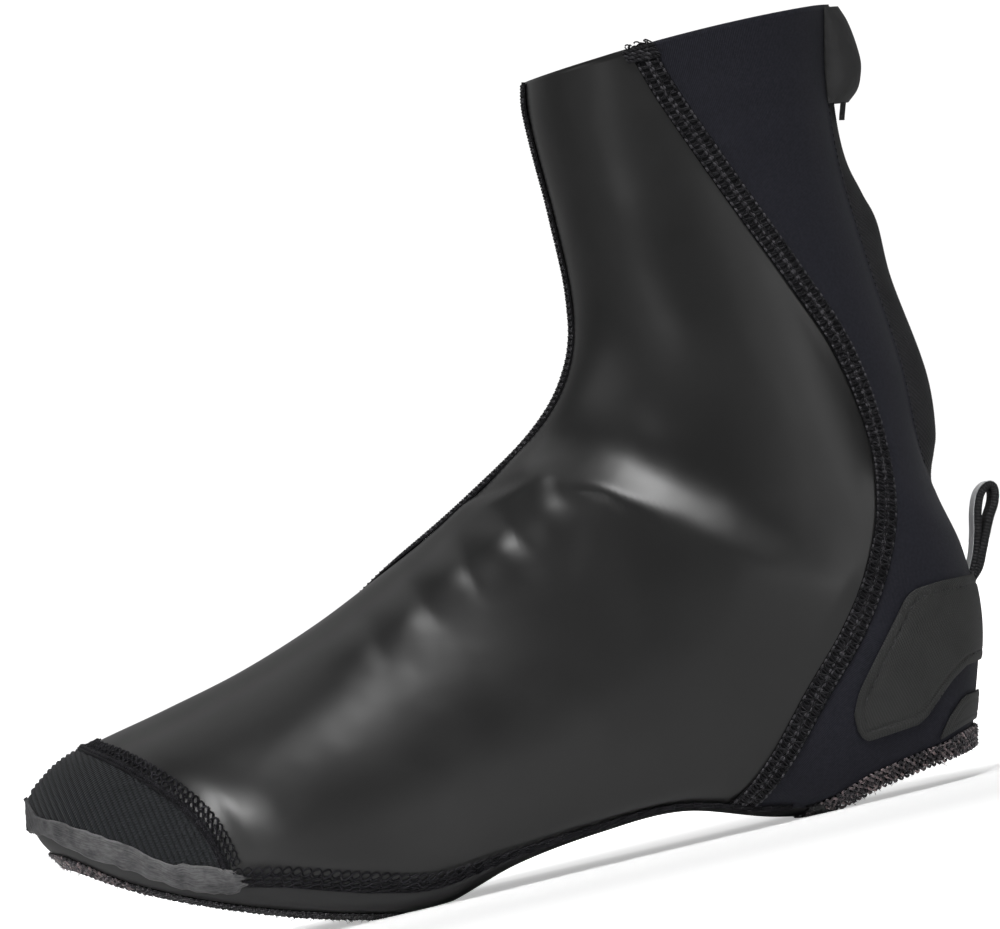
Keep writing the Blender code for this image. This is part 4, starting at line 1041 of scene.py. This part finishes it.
for name, node, edge, start, end, count in (
    ("cleat_serging", "cleat_rim", cleatEdge, cleatOpen, cleatShut, 90),
    ("heel_serging", "heel_rim", heelEdge, heelOpen, heelShut, 80),
):
    us = rounded(start, end, count)
    outer = [(u, vFromArc(u, -1, edge(u, -1))) for u in us]
    inner = [(u, vFromArc(u, 1, edge(u, 1))) for u in us[-2:0:-1]]
    track = Track(outer + inner + outer[:1])
    across, tall = np.array(serging["section"]).T
    across = serging["gap"] + 0.25 + across * (serging["wide"] - 0.5)
    inside = -last["wall"] - 0.1
    ring = np.linspace(0, track.length, 280)
    grid = track.at(ring[:, None], across, inside + tall * (serging["proud"] - inside))
    band = joinPieces([layGrid(name + "_band", grid[:, ::-1])], name + "_band")
    dress(band, finishes["bed"], "thread", node)
    stops, pitch = track.stops(serging["pitch"]), serging["pitch"]
    share = np.linspace(0, 1, 6)
    at, *turns = serging["edge"]
    edgeAcross, edgeHigh = (np.interp(share, at, turn) for turn in turns)
    groups = [(track.at(stops[:, None] + 0.4 * share, edgeAcross, edgeHigh), serging["edgeRadius"], 0.9)]
    leg = np.linspace(0, 1, 5)
    for number, row in enumerate(serging["rows"]):
        start = stops + pitch * 0.5 * (number % 2) + rng.uniform(-0.15, 0.15, len(stops))
        for hand in (-1.0, 1.0):  # each stitch is two legs that meet
            high = 0.45 + 0.3 * np.sin(math.pi * leg) + rng.uniform(-0.1, 0.12, (len(stops), 1))
            along = start[:, None] + hand * pitch * 0.48 * (1 - leg)
            groups.append((track.at(along, row - 0.75 + 1.5 * leg, high), serging["radius"], 0.7))
    count = (serging["hairs"], 1)
    roots = rng.uniform(0, track.length, count)
    reach = np.linspace(0, 1, 4) * rng.uniform(0.6, 2.8, count)
    bend = rng.uniform(-1.2, 1.2, count)
    fromEdge = rng.choice((0.4, 2.5, 5.2), count)
    fromEdge = fromEdge + rng.uniform(-0.6, 0.6, count) * reach
    groups.append((track.at(roots + bend * reach, fromEdge, 0.4 + reach * 0.55), serging["hairRadius"], 0.5))
    # paints the serging darker under the sole by its x: painted shadow
    shade = np.array(serging["shade"]).T
    groups = [(paths, radius, taper, np.interp(paths[:, 0, 0], *shade)) for paths, radius, taper in groups]
    sew(name, groups, "serging", sides=4)
print("openings serged")

# Guard tape round the toe's lower edge, with worn uneven edges
guard = {
    "rows": 90, "columns": 18, "noseRows": 23, "lift": 1.25, "thick": 0.8, "endX": 59.6, "wear": 0.45,
    "endWear": 1.6, "endRows": 9, "weld": 0.4,
}


def wobble(count, knots, size):  # a smooth uneven line
    return smooth(rng.uniform(-size, size, (knots, 1)), np.linspace(0, knots - 1, count))[:, 0]


guardHalves = []
guardEnd = uWhere("soleX", guard["endX"], "toes", "ballFront")
noseUs = np.linspace(0.0, 1.0, guard["noseRows"] + 1)[:-1]
guardUs = np.concatenate((noseUs, evenRows(1.0, guardEnd, guard["rows"] - guard["noseRows"])))
for side in (-1, 1):
    topWear, lowWear = wobble(guard["rows"], 40, guard["wear"]), wobble(guard["rows"], 40, guard["wear"])
    endWear = wobble(guard["columns"], 9, guard["endWear"])
    grid = np.empty((guard["rows"], guard["columns"], 3))
    for k, u in enumerate(guardUs):
        row = sliceAt(u)
        high = np.interp(row["topX"], *np.array(lines["guardTop"]).T) + topWear[k] - row["soleZ"]
        low = np.interp(row["soleX"], *np.array(lines["guardLow"]).T) + lowWear[k] - row["soleZ"]
        near = max(0.0, (k - guard["rows"] + guard["endRows"]) / 8.0)
        vs = lerp(vFromHeight(u, side, high), vFromHeight(u, side, low), guard["columns"])
        for column, v in enumerate(vs):
            grid[k, column] = skinRow(max(u + near * endWear[column] / 22.0, 0.0), v)[0]
    grid = grid[:, ::side]
    edge = np.minimum(np.arange(guard["columns"]), np.arange(guard["columns"])[::-1])
    swell = guard["lift"] + 0.12 * np.minimum(edge, 3) + wobble(guard["rows"], 50, 0.16)[:, None]
    worn = np.clip(1.0 - edge / 2.2, 0.0, 1.0) * rng.uniform(0.3, 1.0, (guard["rows"], 1))
    guardHalves.append(layGrid("guard_half", grid + gridNormals(grid) * swell[..., None], worn))
guardPiece = joinPieces(guardHalves, "toe_tape", guard["weld"])
thicken(guardPiece, guard["thick"])
dress(guardPiece, finishes["guard"], "guard", "toe_guard")

# Heel patches: folded twill with a stitched groove inside the edge
heelLine = smooth(pattern, np.linspace(14.0, 18.0, 200))[:, 2:4]
heelX = 291.2


def patchGrid(patch):  # wraps the heel from one side to the other
    topX, topZ = np.array(patch["top"], float).T
    lowX, lowZ = np.array(patch["low"], float).T
    rows, columns = patch["rows"], patch["columns"]
    halves = []
    for side in (-1, 1):
        grid = np.empty((rows, columns, 3))
        for column, share in enumerate(np.sin(np.linspace(0, math.pi / 2, columns))):
            nominal = topX[0] + (heelX - topX[0]) * share
            heights = lerp(np.interp(nominal, lowX, lowZ), np.interp(nominal, topX, topZ), rows)
            for row, z in enumerate(heights):
                x = topX[0] + (np.interp(z, heelLine[:, 1], heelLine[:, 0]) - topX[0]) * share
                u, height = locate(x, z)
                grid[row, column] = skinRow(u, side if share > 0.999 else vFromHeight(u, side, height))[0]
        halves.append(grid)
    whole = np.concatenate((halves[0], halves[1][:, -2::-1]), axis=1)
    fromEnd = np.zeros(whole.shape[:2])
    fromEnd[:, 1:] = np.cumsum(np.linalg.norm(np.diff(whole, axis=1), axis=2), axis=1)
    fromEnd = np.minimum(fromEnd, fromEnd[:, -1:] - fromEnd)
    tall = np.linalg.norm(whole[-1] - whole[0], axis=1)
    step = np.gradient(whole[-1], axis=0)
    slope = np.abs(step[:, 2]) / np.maximum(np.linalg.norm(step, axis=1), 1e-6)
    share = np.linspace(0, 1, rows)[:, None]
    fromTop = (1 - share) * tall * np.sqrt(np.maximum(1 - slope ** 2, 0.1))
    inset = np.minimum(np.minimum(fromEnd, fromTop), share * tall)
    normal = gridNormals(whole)
    outward = np.sign(normal[rows // 2, columns - 1, 0]) or 1.0
    inward, deep = patch["groove"]
    relief = patch["lift"] + 0.25 * np.clip(inset / 1.2, 0, 1)
    relief = relief - deep * np.exp(-((inset - inward) / 0.45) ** 2)
    grid = whole + normal * outward * relief[..., None]
    return grid if outward > 0 else grid[::-1]


heelPatch = {
    "top": [
        (247.3, 26.8), (250.2, 32.6), (260.8, 45.8), (269.4, 56.6), (271.6, 58.3), (274.0, 59.2),
        (281.0, 59.6), (300.0, 58.4),
    ],
    "low": [
        (247.3, 22.0), (248.4, 19.6), (250.4, 18.3), (269.0, 19.6), (272.6, 21.4), (281.6, 30.2),
        (286.0, 33.2), (300.0, 35.0),
    ],
    "columns": 74, "rows": 74, "lift": 0.95, "thick": 0.8, "groove": (2.9, 0.3),
}
lowerPatch = {
    "top": [(270.8, 14.0), (277.6, 19.4), (283.4, 23.4), (286.0, 24.6), (300.0, 25.2)],
    "low": [(270.8, 13.7), (284.4, 16.0), (300.0, 18.0)],
    "columns": 40, "rows": 30, "lift": 0.95, "thick": 0.8, "groove": (2.0, 0.12),
}
for name, node, patch in (
    ("heel_twill", "heel_patch", heelPatch),
    ("heel_twill_lower", "heel_lower_patch", lowerPatch),
):
    piece = layGrid(name, patchGrid(patch))
    thicken(piece, patch["thick"])
    dress(piece, finishes["patch"], "patch", node)
patchStitch = {
    "line": [
        (289.2, 56.0), (281.0, 56.9), (275.2, 56.4), (271.3, 54.2), (263.0, 44.2), (252.6, 31.2),
        (250.1, 26.4), (250.3, 22.6), (251.8, 21.0), (268.2, 22.3), (271.0, 23.8), (279.8, 32.4),
        (284.5, 35.6), (289.4, 36.8),
    ],
    "pitch": 1.9, "length": 1.25, "high": 1.1, "radius": 0.2,
}
groups = []
for side in (-1, 1):
    track = Track([onSide(x, z, side) for x, z in sideLine(patchStitch["line"], 120)])
    stops = track.stops(patchStitch["pitch"], 0.5, 0.5)
    stitches = stitchRow(track, stops, patchStitch["length"], 0.0, patchStitch["high"])
    groups.append((stitches, patchStitch["radius"], 0.5))
sew("heel_patch_stitches", groups, "thread", slot="patch")
print("guard and patches laid")

# Zip: two tapes, the coil between them and a cloth garage over the slider
zipper = {
    "ridge": [
        (84.0, 0.0), (89.0, 0.4), (93.0, 1.7), (97.5, 3.5), (104.0, 5.2), (120.0, 5.8), (150.0, 4.2),
        (168.0, 5.2), (178.0, 3.4), (194.0, 0.9), (235.0, 0.8),
    ],
    "drop": 0.7, "thick": 0.9, "tuck": 0.7, "coilDrop": 0.75, "coilHalf": 1.9, "toothPitch": 1.25,
    "toothRadius": 0.5, "rows": 120, "columns": 14,
    "stitchFrom": 1.7, "stitchPitch": 2.2, "stitchRadius": 0.22,
}
ridgeLine = smooth(zipper["ridge"], np.linspace(0, len(zipper["ridge"]) - 1, 200))


def tapePlace(u, arc, side, drop):  # the tape swells from the panel's edge to the coil
    ridge = np.interp(sliceAt(u)["soleZ"], *ridgeLine.T)
    point, normal = frameAt(u, vFromArc(u, side, arc))
    return point + normal * (ridge * max(1.0 - (arc / max(zipHalf(u), 0.1)) ** 2, 0.0) - drop)


zipUs = evenRows(zipStart - 0.05, lastRow, zipper["rows"], (0.95, 1.0))
for side, label in ((-1, "outer"), (1, "inner")):
    rows = []
    for u in zipUs:
        arcs = lerp(zipHalf(u) + zipper["tuck"], 0.0, zipper["columns"])
        rows.append([tapePlace(u, arc, side, zipper["drop"]) for arc in arcs])
    tape = layGrid("zip_cloth_" + label, np.array(rows)[:, ::side])
    thicken(tape, zipper["thick"])
    dress(tape, finishes["tape"], "tape", "zip_tape_" + label)
coil = np.array([tapePlace(u, 0.0, 1, zipper["coilDrop"]) for u in zipUs])
coilUp = np.array([frameAt(u, 1.0)[1] for u in zipUs])
coilRun = runAlong(coil)
teeth = np.arange(0.6, coilRun[-1] - 0.4, zipper["toothPitch"] / 2)
hand = np.where(np.arange(len(teeth)) % 2 == 0, 1.0, -1.0)[:, None, None]
share = np.linspace(-0.45, 1.0, 6)[None, :, None]
teethPaths = follow(teeth, coilRun, coil)[:, None] + np.array((0.0, zipper["coilHalf"], 0.0)) * hand * share
teethPaths = teethPaths + follow(teeth, coilRun, coilUp)[:, None] * (0.1 - 0.5 * np.abs(share))
sew("zip_coil", [(teethPaths, zipper["toothRadius"], 0.75)], "coil", "zip_chain", slot="chain")
groups = []
edgeUs = evenRows(zipStart + 0.25, lastRow, 90, (0.95, 1.0))
for side in (-1, 1):
    track = Track([(u, vFromArc(u, side, zipHalf(u) + zipper["stitchFrom"])) for u in edgeUs])
    stops = track.stops(zipper["stitchPitch"], 0.6, 0.6)
    groups.append((stitchRow(track, stops, 1.3, 0.0, 0.5), zipper["stitchRadius"], 0.5))
sew("zip_edge_stitches", groups, "mesh")
for node in ("zip_slider", "zip_pull"):
    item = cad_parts[node]
    item.data.materials.clear()
    item.data.materials.append(finishes["metal"])

garage = {
    "rise": [
        (205.6, 4.2), (209.0, 7.2), (213.0, 8.6), (218.0, 9.0), (224.0, 7.6), (230.0, 5.2), (234.4, 2.4),
    ],
    "half": 13.0, "rows": 70, "columns": 70, "gap": 0.5, "thick": 0.9,
}
garageGrid = []
for height, swell in smooth(garage["rise"], np.linspace(0, len(garage["rise"]) - 1, garage["rows"])):
    u = uWhere("soleZ", height, "shin", "collar")
    full = halfLoop(u, 1)[4][-1]
    row = []
    for turn in np.linspace(math.pi, 0.0, garage["columns"]):
        point, normal = frameAt(u, 1.0 + math.cos(turn) * garage["half"] / full)
        row.append(point + normal * (garage["gap"] + swell * math.sin(turn) ** 0.8))
    garageGrid.append(row)
garagePiece = layGrid("zip_hood", np.array(garageGrid))
thicken(garagePiece, garage["thick"])
dress(garagePiece, finishes["hood"], "patch", "zip_garage")

# Pull loop: webbing folded into a drop, with a pale strip woven on its face
loop = {
    "line": [
        (289.4, 55.8), (291.8, 58.3), (294.7, 63.8), (296.8, 70.3), (298.3, 76.8), (300.2, 81.5),
        (302.6, 83.6), (304.3, 83.4), (304.6, 81.2), (303.6, 78.1), (301.3, 74.2), (299.2, 69.9),
        (297.1, 65.3), (294.9, 60.7), (292.3, 57.9), (289.6, 55.4),
    ],
    "wide": 9.0, "thick": 2.1, "skew": -0.16, "rows": 110, "columns": 13, "ribbon": 0.3,
}
loopGrid = np.empty((loop["rows"], loop["columns"], 3))
loopGrid[..., [0, 2]] = sideLine(loop["line"], loop["rows"])[:, None]
loopGrid[..., 1] = np.linspace(-0.5, 0.5, loop["columns"]) * loop["wide"]
loopGrid[..., 0] += loop["skew"] * (loopGrid[..., 1] + loop["wide"] / 2)
loopNormal = gridNormals(loopGrid)
outside = -1.0 if loopNormal[5, 0, 0] > 0 else 1.0
for name, finish, ribbon, thick, inset, nodes in (
    ("pull_webbing", "webbing", 0.0, loop["thick"], 0, ("pull_loop",)),
    ("pull_ribbon", "strip", loop["ribbon"], loop["ribbon"] - 0.05, 1, ()),
):
    grid = loopGrid + loopNormal * outside * (loop["thick"] / 2 + ribbon)
    grid = grid[:, inset:loop["columns"] - inset]
    piece = layGrid(name, grid if outside > 0 else grid[:, ::-1])
    thicken(piece, thick)
    dress(piece, finishes[finish], "webbing", *nodes)
print("zip and loop made")

# Floor and light
studio = {
    "floor": 4.0, "sky": 1.05,
    # glow by depth: from, to, and the strength at each
    "near": (-0.7, -0.2, 0.9, 0.42), "far": (0.0, 0.3, 0.0, 0.9), "world": (0.05, 0.7, 0.048, 0.28),
}
white = (1.0, 1.0, 1.0, 1.0)
bpy.ops.object.select_all(action="DESELECT")
bpy.ops.mesh.primitive_plane_add(size=studio["floor"] * 2)
floor = bpy.context.object
floor.name = "floor"
paint = Finish("floorPaint", (0.9, 0.9, 0.9), 0.7, 0.1)
paint.feed("Emission Color", white)
depth = paint.axis(paint.coords(), "Y")
glow = paint.combine("ADD", paint.ramp(depth, *studio["near"]), paint.ramp(depth, *studio["far"]))
seen = paint.add("LightPath").outputs["Is Camera Ray"]
paint.feed("Emission Strength", paint.combine("MULTIPLY", glow, seen))
floor.data.materials.append(paint.material)
world = bpy.data.worlds.new("studioWorld")
bpy.context.scene.world = world
world.use_nodes = True
sky = Nodes(world.node_tree)
ambient = sky.tree.nodes["Background"]
sky.put(white, ambient.inputs["Color"])
way = sky.axis(sky.add("TexCoord").outputs["Generated"], "Y")
sky.put(sky.ramp(way, *studio["world"]), ambient.inputs["Strength"])
backdrop = sky.add("Background", Color=white, Strength=studio["sky"])
mixer = sky.add("MixShader")
sky.put(sky.add("LightPath").outputs["Is Camera Ray"], mixer.inputs["Fac"])
sky.put(ambient.outputs[0], mixer.inputs[1])
sky.put(backdrop.outputs[0], mixer.inputs[2])
sky.put(mixer.outputs[0], sky.tree.nodes["World Output"].inputs["Surface"])
middle = (0.0, 0.0, 0.1)
# each softbox: bearing from the front of the shoe (minus is the toe side), climb and distance,
# then size, watts, aim and spread
softboxes = {
    "overhead": (180.0, 72.0, 1.7, (2.0, 1.4), 4.4, middle, 180.0),
    "key": (8.0, 57.0, 1.8, (0.65, 0.5), 12.4, middle, 180.0),
    "ledge": (18.0, 56.0, 0.6, (0.24, 0.18), 0.042, (0.085, -0.035, 0.07), 24.0),
    "toeSide": (-38.0, 22.0, 0.6, (0.22, 0.2), 0.075, (-0.14, -0.04, 0.015), 22.0),
    "heelSide": (40.0, 5.0, 1.8, (0.6, 0.5), 2.0, middle, 180.0),
    "shinFill": (-52.0, -10.0, 0.8, (0.3, 0.3), 0.012, (0.04, -0.02, 0.21), 20.0),
    "toeFill": (-75.0, 25.0, 1.8, (0.9, 0.9), 2.4, middle, 180.0),
    "frontLow": (18.0, -1.0, 2.0, (0.8, 0.12), 1.0, middle, 180.0),
}
for name, (bearing, climb, away, size, watts, aim, spread) in softboxes.items():
    bearing, climb = math.radians(bearing), math.radians(climb)
    flat = math.cos(climb)
    toward = Vector((math.sin(bearing) * flat, -math.cos(bearing) * flat, math.sin(climb)))
    bpy.ops.object.light_add(type="AREA", location=toward * away + Vector(aim))
    lamp = bpy.context.object
    lamp.name = name
    lamp.data.shape = "RECTANGLE"
    lamp.data.size, lamp.data.size_y = size
    lamp.data.energy = watts
    lamp.data.spread = math.radians(spread)
    lamp.visible_camera = False
    lamp.rotation_euler = toward.to_track_quat("Z", "Y").to_euler()
bpy.context.scene.view_settings.view_transform = "Standard"
print("studio set")
